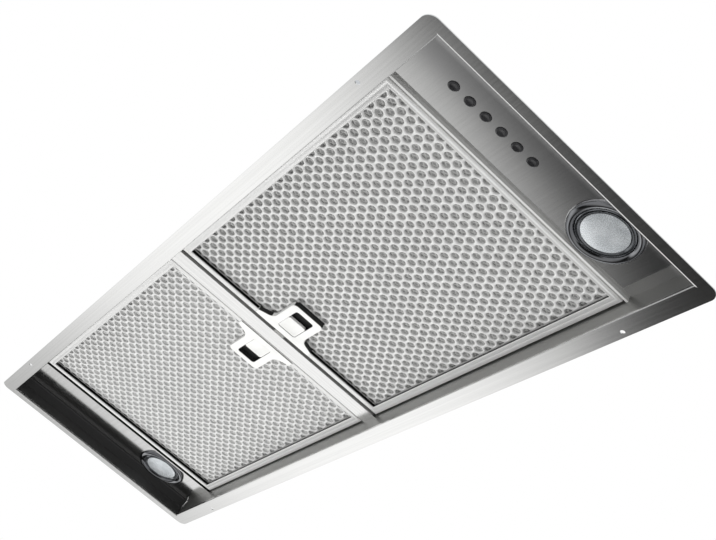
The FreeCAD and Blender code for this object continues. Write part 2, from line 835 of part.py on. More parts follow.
def impeller():
    # Double-inlet wheel: a disc in the middle, a ring at each end and blades between them.
    body = design("impeller")
    outer = given["impeller_radius"]
    inner = outer - given["impeller_ring"]
    half = given["scroll_length"] / 2 - given["impeller_side_gap"]
    disc = given["impeller_disc"] / 2
    ring = given["impeller_disc"] / 2
    bore = given["shaft_radius"]
    hub = given["hub_radius"]
    profile = [(bore, -disc * 3), (hub, -disc * 3), (hub, -disc), (outer, -disc), (outer, disc),
               (hub, disc), (hub, disc * 3), (bore, disc * 3)]
    rings = [rectangle((inner, outer), (-half, ring - half)),
             rectangle((inner, outer), (half - ring, half))]
    sketch = draw(body, "XZ_Plane", "impeller_profile", [profile])
    turned = body.newObject("PartDesign::Revolution", "impeller_disc")
    turned.Profile = sketch
    turned.ReferenceAxis = (sketch, ["V_Axis"])
    turned.Angle = 360
    doc.recompute()
    radial = given["blade_thickness"] / 2
    blade = [rectangle((inner + radial, outer - radial), mirrored(radial))]
    first = pad(body, draw(body, "XY_Plane", "impeller_blade", blade), half * 2, both_ways=True)
    pattern = body.newObject("PartDesign::PolarPattern", "impeller_blades")
    pattern.Originals = [first]
    axis = next(item for item in body.Origin.OriginFeatures if item.Role == "Z_Axis")
    pattern.Axis = (axis, [""])
    pattern.Angle = 360
    bind(pattern, "Occurrences", given["blade_count"])
    body.Tip = pattern
    doc.recompute()
    sketch = draw(body, "XZ_Plane", "impeller_rings", rings)
    turned = body.newObject("PartDesign::Revolution", "impeller_ring_pair")
    turned.Profile = sketch
    turned.ReferenceAxis = (sketch, ["V_Axis"])
    turned.Angle = 360
    body.Placement = FreeCAD.Placement(FreeCAD.Vector(), turns["x"])
    place(body, wall * 0, axis_y, axis_z)
    doc.recompute()
    finish(body, "impeller")


def motor():
    centre = (axis_y, axis_z)
    face = -given["motor_face"]
    back = face - given["motor_length"]
    bore = given["shaft_radius"] + given["motor_bore_clearance"]
    can = rod("motor_can", "x", centre, given["motor_radius"], back, face)
    hole = rod("motor_bore", "x", centre, bore, back, face)
    finish(cut("motor", can, hole), "motor")
    shaft = rod("motor_shaft", "x", centre, given["shaft_radius"],
                back + given["bracket_thickness"], given["shaft_end"])
    finish(shaft, "motor_shaft")


def motor_bracket():
    face = -given["motor_face"]
    half = given["bracket_height"] / 2
    x = (face, face + given["bracket_thickness"])
    strap = box("motor_bracket_strap", x, mirrored(tower_y - wall),
                (axis_z - half, axis_z + half))
    hole = rod("motor_bracket_hole", "x", (axis_y, axis_z), given["hub_radius"], x[0], x[1])
    finish(cut("motor_bracket", strap, hole), "motor_bracket")


# Duct collar with two half-moon flaps on one pin.
def collar_screw_spots():
    reach = given["collar_screw_circle"] * math.sqrt(0.5)
    return [(reach * sign_x, reach * sign_y) for sign_x in (-1, 1) for sign_y in (-1, 1)]


def duct_collar():
    outer = given["collar_radius"]
    foot = given["collar_foot_radius"]
    low = given["collar_foot_thickness"]
    high = given["collar_height"]
    profile = [(collar_inner, 0), (foot, 0), (foot, low), (outer, low), (outer, high),
               (collar_inner, high)]
    turned = spin("duct_collar_ring", profile, wall * 0, wall * 0, roof_high)
    pin_hole = rod("duct_collar_pin_hole", "y", (wall * 0, pin_z),
                   given["flap_pin_radius"] + given["screw_clearance"], -outer, outer)
    screws = [rod(f"duct_collar_screw_hole{index}", "z", spot, screw_hole(),
                  roof_high, foot_high) for index, spot in enumerate(collar_screw_spots())]
    finish(cut("duct_collar", turned, pin_hole, *screws), "duct_collar")
    finish(rod("damper_pin", "y", (wall * 0, pin_z), given["flap_pin_radius"],
               -outer, outer), "damper_pin")


def damper_flap(label, side):
    half = given["flap_thickness"] / 2
    split = given["flap_split"]
    radius = collar_inner - given["flap_clearance"]
    z = (pin_z - half, pin_z + half)
    disc = rod(f"{label}_disc", "z", (wall * 0, wall * 0), radius, z[0], z[1])
    waste = box(f"{label}_waste", span(-side, -split, radius), mirrored(radius), z)
    plate = cut(f"{label}_plate", disc, waste)
    length = given["knuckle_length"]
    pitch = given["knuckle_pitch"]
    outer = given["knuckle_radius"]
    bore = given["flap_pin_radius"] + given["knuckle_clearance"]
    knuckles = []
    holes = []
    for index in (-1, 1):
        middle = pitch * index + pitch / 2 * side
        y = (middle - length / 2, middle + length / 2)
        name = f"{label}_{'low' if index < 0 else 'high'}"
        knuckles.append(rod(f"{name}_knuckle", "y", (wall * 0, pin_z), outer, *y))
        knuckles.append(box(f"{name}_web", span(side, wall * 0, split + half), y, z))
        holes.append(rod(f"{name}_bore", "y", (wall * 0, pin_z), bore, *y))
    finish(cut(label, fuse(f"{label}_solid", plate, *knuckles), *holes), label)


# Terminal box on the plenum cover.
def terminal_box():
    thin = given["terminal_wall"]
    x = (given["terminal_start"], given["terminal_start"] + given["terminal_length"])
    y = (-given["terminal_back"], given["terminal_width"] - given["terminal_back"])
    high = cover_high + given["terminal_height"]
    middle = ((y[0] + y[1]) / 2, cover_high + given["terminal_height"] / 2)
    block = box("terminal_box_block", x, y, (cover_high, high))
    hollow = box("terminal_box_hollow", (x[0] + thin, x[1] - thin), (y[0] + thin, y[1] - thin),
                 (cover_high + thin, high))
    entry = rod("terminal_box_entry", "x", middle,
                given["gland_thread_radius"] + given["gland_clearance"], x[1] - thin, x[1])
    finish(cut("terminal_box", block, hollow, entry), "terminal_box")
    finish(box("terminal_lid", x, y, (high, high + thin)), "terminal_lid")
    bore = given["gland_bore"]
    thread = given["gland_thread_radius"]
    radius = given["gland_radius"]
    length = given["gland_length"]
    profile = [(bore, -thin), (thread, -thin), (thread, 0), (radius, 0), (radius, length * 0.7),
               (radius * 0.8, length), (bore, length)]
    finish(spin("cable_gland", profile, x[1], *middle, axis="x"), "cable_gland")


# Screws.
def casing_screws():
    made = []
    outer = opening_y + wall
    high = given["casing_screw_height"]
    for index, x in enumerate(casing_screw_spots()):
        for side in (-1, 1):
            name = f"casing_screw{index}{'a' if side < 0 else 'b'}"
            shank = rod(f"{name}_shank", "y", (x, high), given["screw_shank"],
                        *span(side, outer - given["screw_length"], outer))
            head = rod(f"{name}_head", "y", (x, high), given["screw_head"],
                       *span(side, outer, outer + given["screw_head_height"]))
            made.append(fuse(name, shank, head))
    finish(group("casing_screws", *made), "casing_screws")


def collar_screws():
    made = []
    for index, spot in enumerate(collar_screw_spots()):
        name = f"collar_screw{index}"
        shank = rod(f"{name}_shank", "z", spot, given["screw_shank"],
                    foot_high - given["screw_length"], foot_high)
        head = rod(f"{name}_head", "z", spot, given["screw_head"],
                   foot_high, foot_high + given["screw_head_height"])
        made.append(fuse(name, shank, head))
    finish(group("collar_screws", *made), "collar_screws")


def check():
    doc.recompute()
    for item in doc.Objects:
        if "Invalid" in item.State or "Error" in item.State:
            raise ValueError(f"{item.Name} is {item.State}")
    for item in parts:
        if item.Shape.isNull() or not item.Shape.isValid() or not item.Shape.Solids:
            raise ValueError(f"{item.Label} has no valid shape")


def write():
    os.makedirs("parts", exist_ok=True)
    for item in parts:
        item.Shape.exportStep(f"parts/{item.Label}.step")
    print(f"wrote {len(parts)} sub-parts")


button_labels = ("button_stop", "button_speed_one", "button_speed_two", "button_speed_three",
                 "button_boost", "button_light")
button_count = len(button_labels)

mounting_flange()
end_panel("control_panel", 1, [lamp_hole(1)] + [
    (button_x, button_y(index), given["button_radius"] + given["button_clearance"])
    for index in range(button_count)])
end_panel("lamp_panel", -1, [lamp_hole(-1)])
crossbar()
grease_filter("filter_right", 1)
grease_filter("filter_left", -1)
lamp("lamp_right", 1)
lamp("lamp_left", -1)
for index, label in enumerate(button_labels):
    push_button(label, index)
switch_block()
circuit_board()
plenum_side("plenum_front", -1)
plenum_side("plenum_back", 1)
plenum_end("plenum_left_end", -1)
plenum_end("plenum_right_end", 1)
plenum_cover()
tower()
blower_scroll()
impeller()
motor()
motor_bracket()
duct_collar()
damper_flap("damper_flap_left", -1)
damper_flap("damper_flap_right", 1)
terminal_box()
casing_screws()
collar_screws()
check()
write()
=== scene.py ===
import math

import bmesh
import bpy
from bmesh.types import BMEdge, BMFace, BMVert
from mathutils import Matrix, Quaternion, Vector


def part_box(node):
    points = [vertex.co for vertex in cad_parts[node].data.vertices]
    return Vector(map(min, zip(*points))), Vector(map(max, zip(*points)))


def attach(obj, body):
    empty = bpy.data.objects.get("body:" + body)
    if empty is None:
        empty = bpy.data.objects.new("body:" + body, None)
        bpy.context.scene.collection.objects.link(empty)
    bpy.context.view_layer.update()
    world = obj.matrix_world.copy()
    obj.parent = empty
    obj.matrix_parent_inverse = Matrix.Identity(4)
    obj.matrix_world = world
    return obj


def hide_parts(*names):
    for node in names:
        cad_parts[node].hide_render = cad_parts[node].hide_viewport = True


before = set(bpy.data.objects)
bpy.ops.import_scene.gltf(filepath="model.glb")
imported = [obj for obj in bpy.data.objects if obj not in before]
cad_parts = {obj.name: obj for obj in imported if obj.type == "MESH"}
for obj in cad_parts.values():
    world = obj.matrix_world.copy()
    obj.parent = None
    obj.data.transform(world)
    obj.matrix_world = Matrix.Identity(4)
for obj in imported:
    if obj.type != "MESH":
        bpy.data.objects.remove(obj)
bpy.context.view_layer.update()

sides = {"right": 1, "left": -1}  # the right filter is the one at the push buttons


# Camera, at the photograph's angle.
shot = {
    "place": (0.90353, -0.23561, -0.58175),
    "target": (0.18492, -0.01934, 0.0),
    "roll": 31.241,
    "lens": 57.95,
}


def placeCamera():
    data = bpy.data.cameras.new("camera")
    data.lens = shot["lens"]
    data.sensor_width = 36
    data.clip_start = 0.01
    data.clip_end = 60
    camera = bpy.data.objects.new("camera", data)
    bpy.context.scene.collection.objects.link(camera)
    towards = Vector(shot["target"]) - Vector(shot["place"])
    turn = Quaternion((0, 0, 1), math.radians(shot["roll"]))
    camera.location = shot["place"]
    camera.rotation_euler = (towards.to_track_quat("-Z", "Y") @ turn).to_euler()
    bpy.context.scene.camera = camera


placeCamera()
bpy.context.scene.view_settings.view_transform = "Standard"
print("camera placed")


# Small helpers for node trees.
def fill(socket, value):
    # The value is a number, a colour, or the socket that feeds this one.
    if isinstance(value, bpy.types.NodeSocket):
        socket.id_data.links.new(value, socket)
    else:
        socket.default_value = value


def setUp(node, **settings):
    # A name with a capital is an input, and the others are the node's own settings.
    for name, value in settings.items():
        if name[0].isupper():
            fill(node.inputs[name.replace("_", " ")], value)
        else:
            setattr(node, name, value)
    return node


def addNode(tree, kind, **settings):
    return setUp(tree.nodes.new(kind), **settings)


def stretch(tree, vector, scale):
    return addNode(tree, "ShaderNodeMapping", Vector=vector, Scale=scale).outputs["Vector"]


def noise(tree, vector, scale, detail=3.0, roughness=0.55):
    return addNode(tree, "ShaderNodeTexNoise", Vector=vector, Scale=scale, Detail=detail,
                   Roughness=roughness).outputs["Fac"]


def remap(tree, value, low, high, toLow=0.0, toHigh=1.0):
    return addNode(tree, "ShaderNodeMapRange", interpolation_type="SMOOTHSTEP", Value=value,
                   From_Min=low, From_Max=high, To_Min=toLow, To_Max=toHigh).outputs["Result"]


def blendColour(tree, factor, first, second):
    node = addNode(tree, "ShaderNodeMix", data_type="RGBA")
    fill(node.inputs[0], factor)
    for index, colour in ((6, first), (7, second)):
        if isinstance(colour, float):  # a plain grey
            colour = (colour, colour, colour)
        if isinstance(colour, tuple):
            colour = (*colour, 1)
        fill(node.inputs[index], colour)
    return node.outputs[2]


def maths(tree, operation, *values):
    node = addNode(tree, "ShaderNodeMath", operation=operation)
    for socket, value in zip(node.inputs, values):
        fill(socket, value)
    return node.outputs[0]


def multiply(tree, value, factor):
    return maths(tree, "MULTIPLY", value, factor)


def plusShare(tree, value, mask, share):
    return maths(tree, "ADD", value, multiply(tree, mask, share))


def objectPlace(tree):
    return addNode(tree, "ShaderNodeTexCoord").outputs["Object"]


def splitPlace(tree, place):
    return addNode(tree, "ShaderNodeSeparateXYZ", Vector=place).outputs


def startGroup(name, **inputs):
    group = bpy.data.node_groups.new(name, "ShaderNodeTree")
    for label, value in inputs.items():
        socket = group.interface.new_socket(name=label, in_out="INPUT",
                                            socket_type="NodeSocketFloat")
        socket.default_value = value
    return group, addNode(group, "NodeGroupInput").outputs, objectPlace(group)


def endGroup(group, **outputs):
    for label in outputs:
        group.interface.new_socket(name=label, in_out="OUTPUT", socket_type="NodeSocketFloat")
    addNode(group, "NodeGroupOutput", **outputs)
    return group


# Effects that several finishes share.
def brushedGrain():
    # Long fine scratches along X, or along Y when turned, with bands and cloudy patches.
    group, ins, place = startGroup("brushedGrain", Turn=0.0)
    along = addNode(group, "ShaderNodeVectorRotate", rotation_type="Z_AXIS", Vector=place,
                    Angle=multiply(group, ins["Turn"], math.pi / 2)).outputs[0]
    fine = noise(group, stretch(group, along, (9, 1500, 1500)), 1.0, 2.0, 0.6)
    coarse = noise(group, stretch(group, along, (2, 420, 420)), 1.0, 3.0, 0.55)
    cloudy = noise(group, along, 14.0, 2.0)
    return endGroup(group, Scratches=remap(group, fine, 0.25, 0.75),
                    Bands=remap(group, coarse, 0.3, 0.7), Patches=remap(group, cloudy, 0.3, 0.7))


def zincCrystals():
    # Frosty flakes of zinc, each with its own shade, and the edges between them.
    group, ins, place = startGroup("zincCrystals", Flakes=60.0)
    flakes, borders = (addNode(group, "ShaderNodeTexVoronoi", feature=feature, Vector=place,
                               Scale=ins["Flakes"]).outputs
                       for feature in ("F1", "DISTANCE_TO_EDGE"))
    shade = addNode(group, "ShaderNodeSeparateColor", Color=flakes["Color"]).outputs["Red"]
    return endGroup(group, Shade=shade, Edges=remap(group, borders["Distance"], 0.0, 0.12),
                    Frost=remap(group, noise(group, place, 420.0, 2.0), 0.3, 0.7))


def mouldedSkin():
    # The fine grain of moulded plastic, and the slow mottling of its colour.
    group, ins, place = startGroup("mouldedSkin", Grain=900.0)
    pits = noise(group, place, ins["Grain"], 2.0, 0.5)
    return endGroup(group, Pits=remap(group, pits, 0.3, 0.7),
                    Mottle=remap(group, noise(group, place, 55.0, 3.0), 0.35, 0.65))


def handling():
    # Faint wiped marks and specks of dust from handling.
    group, ins, place = startGroup("handling", Dust=700.0)
    smears = noise(group, stretch(group, place, (26, 60, 26)), 1.0, 5.0, 0.62)
    specks = noise(group, place, ins["Dust"], 1.0)
    return endGroup(group, Smears=remap(group, smears, 0.52, 0.74),
                    Specks=remap(group, specks, 0.7, 0.78))


def edgeWearAndSheen():
    # Outer edges made brighter: rubbed wear, and on the buttons also a painted highlight.
    group, ins, place = startGroup("edgeWearAndSheen", Low=0.52, High=0.6)
    shape = addNode(group, "ShaderNodeNewGeometry").outputs["Pointiness"]
    edges = addNode(group, "ShaderNodeMapRange", Value=shape, From_Min=ins["Low"],
                    From_Max=ins["High"]).outputs["Result"]
    patchy = remap(group, noise(group, place, 90.0, 4.0), 0.35, 0.65, 0.4, 1.0)
    return endGroup(group, Edges=multiply(group, edges, patchy))


effects = {build.__name__: build() for build in
           (brushedGrain, zincCrystals, mouldedSkin, handling, edgeWearAndSheen)}
print("effects:", ", ".join(effects))


def useEffect(tree, name, **values):
    return addNode(tree, "ShaderNodeGroup", node_tree=effects[name], **values).outputs


def startMaterial(name, **values):
    material = bpy.data.materials.new(name)
    material.use_nodes = True
    shader = material.node_tree.nodes["Principled BSDF"]
    return material, material.node_tree, setUp(shader, **values)


def dress(tree, shader, colour, roughness, height, depth):
    bump = addNode(tree, "ShaderNodeBump", Distance=depth, Height=height)
    setUp(shader, Base_Color=colour, Roughness=roughness, Normal=bump.outputs["Normal"])


def grained(tree, looks):
    # The moulded skin, with the colour and the roughness that it gives.
    skin = useEffect(tree, "mouldedSkin", Grain=looks["grain"])
    return (skin, blendColour(tree, skin["Mottle"], looks["dark"], looks["light"]),
            remap(tree, skin["Pits"], 0, 1, *looks["roughness"]))


def brushedSteel(name, looks):
    material, tree, shader = startMaterial(name, Metallic=1.0)
    grain = useEffect(tree, "brushedGrain", Turn=1.0 if looks.get("turned") else 0.0)
    marks = useEffect(tree, "handling")
    base = blendColour(tree, grain["Bands"], looks["dark"], looks["light"])
    base = blendColour(tree, multiply(tree, marks["Smears"], looks["smear"]), base,
                       looks["smeared"])
    rough = remap(tree, grain["Scratches"], 0, 1, *looks["roughness"])
    along = splitPlace(tree, objectPlace(tree))
    # Each band blends a painted darker or paler colour into the steel and adds roughness there.
    for axis, start, end, colour, dulling in looks.get("zones", ()):
        past = remap(tree, maths(tree, "ABSOLUTE", along[axis]), start, end)
        base = blendColour(tree, past, base, colour)
        rough = plusShare(tree, rough, past, dulling)
    if "hemMetallic" in looks:  # the last zone is then the hem
        setUp(shader, Metallic=remap(tree, past, 0, 1, 1.0, looks["hemMetallic"]))
    dress(tree, shader, base, plusShare(tree, rough, grain["Patches"], looks["patchy"]),
          maths(tree, "ADD", grain["Scratches"], grain["Bands"]), looks["depth"])
    return material


def galvanisedSteel(name, looks):
    material, tree, shader = startMaterial(name, Metallic=looks["metallic"])
    zinc = useEffect(tree, "zincCrystals", Flakes=looks["flakes"])
    marks = useEffect(tree, "handling")
    flake = blendColour(tree, zinc["Shade"], looks["dark"], looks["light"])
    edged = blendColour(tree, zinc["Edges"], looks["edge"], flake)
    base = blendColour(tree, multiply(tree, marks["Smears"], looks["smear"]), edged, looks["edge"])
    rough = remap(tree, zinc["Shade"], 0, 1, *looks["roughness"])
    dress(tree, shader, base, plusShare(tree, rough, zinc["Frost"], looks["frost"]),
          maths(tree, "ADD", zinc["Shade"], zinc["Frost"]), looks["depth"])
    return material


smearDulls = {"metal": 0.06, "plastic": 0.08}  # what wiped marks add to the roughness


def castMetal(name, looks):
    # Satin aluminium, plated steel, dark steel and chrome differ only in their numbers.
    material, tree, shader = startMaterial(name, Metallic=looks["metallic"])
    skin, base, rough = grained(tree, looks)
    wearAndSheen = useEffect(tree, "edgeWearAndSheen")
    marks = useEffect(tree, "handling")
    dress(tree, shader, blendColour(tree, wearAndSheen["Edges"], base, looks["rubbed"]),
          plusShare(tree, rough, marks["Smears"], smearDulls["metal"]), skin["Pits"],
          looks["depth"])
    return material


def mouldedPlastic(name, looks):
    material, tree, shader = startMaterial(name, Metallic=0.0)
    skin, base, rough = grained(tree, looks)
    wearAndSheen = useEffect(tree, "edgeWearAndSheen")
    marks = useEffect(tree, "handling")
    for mask, share in ((wearAndSheen["Edges"], looks["wear"]), (marks["Specks"], looks["dust"])):
        base = blendColour(tree, multiply(tree, mask, share), base, looks["rubbed"])
    dress(tree, shader, base, plusShare(tree, rough, marks["Smears"], smearDulls["plastic"]),
          skin["Pits"], looks["depth"])
    return material


def perforatedAluminium(name, looks):
    # Soft aluminium with a slight grain, brighter along the ridges and where they meet.
    material, tree, shader = startMaterial(name, Metallic=looks["metallic"])
    skin, base, rough = grained(tree, looks)
    wearAndSheen = useEffect(tree, "edgeWearAndSheen", Low=0.5, High=0.56)
    dress(tree, shader, blendColour(tree, wearAndSheen["Edges"], base, looks["rubbed"]), rough,
          skin["Pits"], looks["depth"])
    return material


def layeredMesh(name, looks):
    # The next expanded sheet, seen through the holes: crossing strands with shade between.
    material, tree, shader = startMaterial(name, Metallic=looks["metallic"])
    place = objectPlace(tree)
    strands = []
    for turn in (looks["slant"], -looks["slant"]):
        turned = addNode(tree, "ShaderNodeMapping", Vector=place,
                         Rotation=(0, 0, math.radians(turn))).outputs["Vector"]
        wave = addNode(tree, "ShaderNodeTexWave", wave_type="BANDS", bands_direction="X",
                       Vector=turned, Scale=looks["strands"], Distortion=1.2, Detail=1.0)
        strands.append(wave.outputs["Fac"])
    skin = useEffect(tree, "mouldedSkin", Grain=looks["grain"])
    height = remap(tree, maths(tree, "MAXIMUM", *strands), 0.35, 0.95)
    shade = blendColour(tree, height, looks["dark"], looks["light"])
    mottle = multiply(tree, skin["Mottle"], looks["mottled"])
    dress(tree, shader, blendColour(tree, mottle, shade, looks["dull"]),
          remap(tree, skin["Pits"], 0, 1, *looks["roughness"]), height, looks["depth"])
    return material


def frostedLens(name, looks):
    material, tree, shader = startMaterial(name, Metallic=looks["metallic"], IOR=1.5,
                                           Transmission_Weight=looks["transmission"])
    skin, base, rough = grained(tree, looks)
    dress(tree, shader, base, rough, skin["Pits"], looks["depth"])
    return material


def circuitLaminate(name, looks):
    material, tree, shader = startMaterial(name, Metallic=0.0)
    place = objectPlace(tree)
    tracks = addNode(tree, "ShaderNodeTexBrick", offset=0.5, Vector=place, Scale=looks["scale"],
                     Mortar_Size=0.02, Color1=(*looks["board"], 1),
                     Color2=(*looks["shade"], 1), Mortar=(*looks["copper"], 1))
    rough = remap(tree, noise(tree, place, looks["grain"]), 0.3, 0.7, *looks["roughness"])
    dress(tree, shader, tracks.outputs["Color"], rough, tracks.outputs["Fac"], looks["depth"])
    return material


def cream(level):
    return level, level, level - 0.01


# Bands of the sheet where light or shade is painted into its colour: axis, start and end of the
# change, the new colour, and what it adds to the roughness. With the start past the end, a band
# lies inwards.
paintedWallShade = [("Z", 0.0016, 0.0036, cream(0.38), 0.34)]  # painted shade on the recess walls above the folds, which are also rougher there
# Painted reflection on the control panel: darker from |X| 0.365, paler again from 0.397, and
# inside 0.35 the hem is a pale, nearly matte band of painted light.
paintedControlBands = [("X", 0.365, 0.395, 0.6, 0.02),
                ("X", 0.397, 0.402, 0.86, 0.03),
                ("X", 0.3501, 0.3500, cream(0.62), 0.3)]
# Painted shade on the lamp panel: near black on the hem inside |X| 0.3478, and dark past the fold
# at the far end.
paintedHemShade = [("X", 0.34788, 0.34782, 0.03, 0.4),
            ("X", 0.4070, 0.4090, 0.12, 0.4)]

kindsOfFinish = {
    brushedSteel: {
        "flangeSteel": {"dark": cream(0.75), "light": cream(0.81),
            "smeared": (0.7, 0.71, 0.72), "smear": 0.15, "roughness": (0.06, 0.1),
            "zones": paintedWallShade, "patchy": 0.02, "depth": 0.000002},
        "controlSteel": {"dark": cream(0.76), "light": cream(0.8),
            "smeared": (0.7, 0.71, 0.72), "smear": 0.15, "roughness": (0.06, 0.085),
            "zones": paintedControlBands, "hemMetallic": 0.1, "patchy": 0.01, "depth": 0.000001},
        "lampSteel": {"dark": cream(0.75), "light": cream(0.81),
            "smeared": (0.7, 0.71, 0.72), "smear": 0.15, "roughness": (0.08, 0.12),
            "zones": paintedHemShade, "patchy": 0.02, "depth": 0.0000015},
        "crossbarSteel": {"turned": True, "dark": cream(0.78),
            "light": cream(0.85), "smeared": 0.78, "smear": 0.1, "roughness": (0.16, 0.24),
            "patchy": 0.02, "depth": 0.000002},
    },
    galvanisedSteel: {
        "casingZinc": {"metallic": 0.75, "flakes": 62.0, "dark": (0.5, 0.52, 0.54),
            "light": (0.72, 0.74, 0.76), "edge": (0.62, 0.64, 0.66), "smear": 0.3,
            "roughness": (0.32, 0.5), "frost": 0.08, "depth": 0.00004},
    },
    castMetal: {
        "frameAluminium": {"metallic": 0.65, "grain": 800.0, "dark": cream(0.88),
            "light": cream(0.91), "rubbed": cream(0.94), "roughness": (0.3, 0.36),
            "depth": 0.000002},
        # Dark chrome: its low base colour is a painted dark reflection.
        "chrome": {"metallic": 1.0, "grain": 500.0, "dark": (0.2, 0.205, 0.215),
            "light": (0.27, 0.275, 0.285), "rubbed": (0.7, 0.7, 0.71), "roughness": (0.05, 0.08),
            "depth": 0.000003},
        "darkRing": {"metallic": 0.9, "grain": 600.0, "dark": (0.05, 0.055, 0.06),
            "light": (0.11, 0.115, 0.12), "rubbed": (0.5, 0.52, 0.55), "roughness": (0.16, 0.28),
            "depth": 0.00001},
        # Painted shade inside the frames' channel: near black on the end bars, grey on the side
        # bars.
        "channelShade": {"metallic": 0.6, "grain": 600.0, "dark": 0.03, "light": 0.06,
            "rubbed": 0.12, "roughness": (0.5, 0.65), "depth": 0.00002},
        "channelPale": {"metallic": 0.5, "grain": 600.0, "dark": 0.3, "light": 0.38,
            "rubbed": 0.45, "roughness": (0.4, 0.5), "depth": 0.00001},
        "darkSteel": {"metallic": 0.9, "grain": 500.0, "dark": (0.1, 0.1, 0.105),
            "light": (0.17, 0.17, 0.175), "rubbed": 0.4, "roughness": (0.35, 0.5),
            "depth": 0.00002},
        "platedSteel": {"metallic": 1.0, "grain": 900.0, "dark": (0.6, 0.6, 0.58),
            "light": (0.74, 0.74, 0.72), "rubbed": cream(0.88), "roughness": (0.2, 0.34),
            "depth": 0.00001},
    },
    perforatedAluminium: {
        "sheetAluminium": {"metallic": 0.55, "grain": 700.0, "dark": cream(0.79),
            "light": cream(0.86), "rubbed": cream(0.9), "roughness": (0.3, 0.42),
            "depth": 0.00003},
    },
    layeredMesh: {
        # Painted light and shade: the left filter's inner mesh is a paler copy, the right one's a
        # darker copy of the same layer.
        "innerMeshLeft": {"metallic": 0.5, "grain": 700.0, "strands": 85.0, "slant": 35,
            "mottled": 0.35, "depth": 0.0004, "dark": 0.5, "light": cream(0.74),
            "dull": cream(0.62), "roughness": (0.35, 0.5)},
        "innerMeshRight": {"metallic": 0.6, "grain": 700.0, "strands": 85.0, "slant": 35,
            "mottled": 0.35, "depth": 0.0004, "dark": 0.3, "light": cream(0.56),
            "dull": cream(0.42), "roughness": (0.35, 0.5)},
    },
    mouldedPlastic: {
        "latchPlastic": {"grain": 900.0, "dark": (0.8, 0.8, 0.78), "light": (0.86, 0.86, 0.84),
            "rubbed": cream(0.9), "wear": 0.5, "dust": 0.0, "roughness": (0.34, 0.46),
            "depth": 0.00002},
        "sliderPlastic": {"grain": 900.0, "dark": (0.79, 0.79, 0.77), "light": (0.85, 0.85, 0.83),
            "rubbed": cream(0.9), "wear": 0.5, "dust": 0.0, "roughness": (0.32, 0.44),
            "depth": 0.00002},
        # Painted shadow: near black for the sheet behind the latches and the latch plates' window
        # and outer end walls.
        "slotBlack": {"grain": 900.0, "dark": 0.006, "light": 0.014, "rubbed": 0.03, "wear": 0.3,
            "dust": 0.1, "roughness": (0.6, 0.75), "depth": 0.00003},
        "blackPlastic": {"grain": 700.0, "dark": (0.012, 0.012, 0.013),
            "light": (0.03, 0.03, 0.031), "rubbed": 0.12, "wear": 0.5, "dust": 0.25,
            "roughness": (0.42, 0.58), "depth": 0.00004},
        "greyPlastic": {"grain": 700.0, "dark": (0.24, 0.25, 0.26), "light": (0.32, 0.33, 0.34),
            "rubbed": 0.5, "wear": 0.5, "dust": 0.2, "roughness": (0.4, 0.55), "depth": 0.00004},
        # Brighter edges: wear, and partly a painted highlight round the caps.
        "buttonBlack": {"grain": 1200.0, "dark": (0.006, 0.006, 0.007),
            "light": (0.014, 0.014, 0.016), "rubbed": (0.12, 0.12, 0.13), "wear": 0.7,
            "dust": 0.04, "roughness": (0.24, 0.36), "depth": 0.000015},
    },
    frostedLens: {
        "frostedLens": {"metallic": 0.5, "transmission": 0.1, "grain": 1400.0, "depth": 0.00003,
            "dark": (0.52, 0.55, 0.57), "light": (0.68, 0.71, 0.73), "roughness": (0.2, 0.32)},
        "bulbGlass": {"metallic": 0.0, "transmission": 0.8, "grain": 1400.0, "depth": 0.00003,
            "dark": (0.92, 0.93, 0.94), "light": 0.97, "roughness": (0.05, 0.12)},
    },
    circuitLaminate: {
        "circuitBoard": {"scale": 120.0, "grain": 300.0, "roughness": (0.35, 0.5),
            "depth": 0.00003, "board": (0.03, 0.16, 0.07), "shade": (0.035, 0.2, 0.09),
            "copper": (0.4, 0.3, 0.12)},
    },
}
finishes = {name: make(name, looks) for make, group in kindsOfFinish.items()
            for name, looks in group.items()}
print("finishes:", len(finishes))


# New pieces.
def makeObject(name, bm):
    mesh = bpy.data.meshes.new(name)
    bm.to_mesh(mesh)
    bm.free()
    made = bpy.data.objects.new(name, mesh)
    bpy.context.scene.collection.objects.link(made)
    return made, mesh


def addPiece(name, bm, materials, body, stands=(), sharp=35):
    bmesh.ops.remove_doubles(bm, verts=bm.verts, dist=1e-6)
    piece, mesh = makeObject(name, bm)
    for material in materials:
        mesh.materials.append(finishes[material])
    mesh.shade_smooth()
    mesh.set_sharp_from_angle(angle=math.radians(sharp))
    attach(piece, body)
    if stands:
        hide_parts(*stands)
    print("piece:", name, len(mesh.polygons), "faces")
    return piece


def turnProfile(bm, points, centre, axis=(0, 0, 1), steps=64):
    # Spins (radius, height) points round an axis through centre, to a closed ring or cap.
    turn = Vector((0, 0, 1)).rotation_difference(Vector(axis)).to_matrix()
    middle = Vector(centre)
    verts = [bm.verts.new(middle + turn @ Vector((radius, 0, height)))
             for radius, height in points]
    edges = [bm.edges.new(pair) for pair in zip(verts, verts[1:])]
    bmesh.ops.spin(bm, geom=verts + edges, cent=middle, axis=turn @ Vector((0, 0, 1)),
                   angle=2 * math.pi, steps=steps, use_merge=True)


def everything(bm):
    return bm.verts[:] + bm.edges[:] + bm.faces[:]


def only(kind, geom):
    return [item for item in geom if isinstance(item, kind)]


def spot(face):
    return face.calc_center_median()


def withBorders(faces):
    parts = [item for face in faces for item in (face, *face.edges, *face.verts)]
    return list(dict.fromkeys(parts))


def outwards(bm):
    bmesh.ops.remove_doubles(bm, verts=bm.verts, dist=1e-6)
    bmesh.ops.recalc_face_normals(bm, faces=bm.faces)


def turnPiece(name, points, node, steps, material, body, around=None):
    # A piece that is one profile round an upright axis, in the middle of its node or another.
    low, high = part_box(around or node)
    bm = bmesh.new()
    turnProfile(bm, points, ((low.x + high.x) / 2, (low.y + high.y) / 2, 0), steps=steps)
    outwards(bm)
    addPiece(name, bm, [material], body, [node])


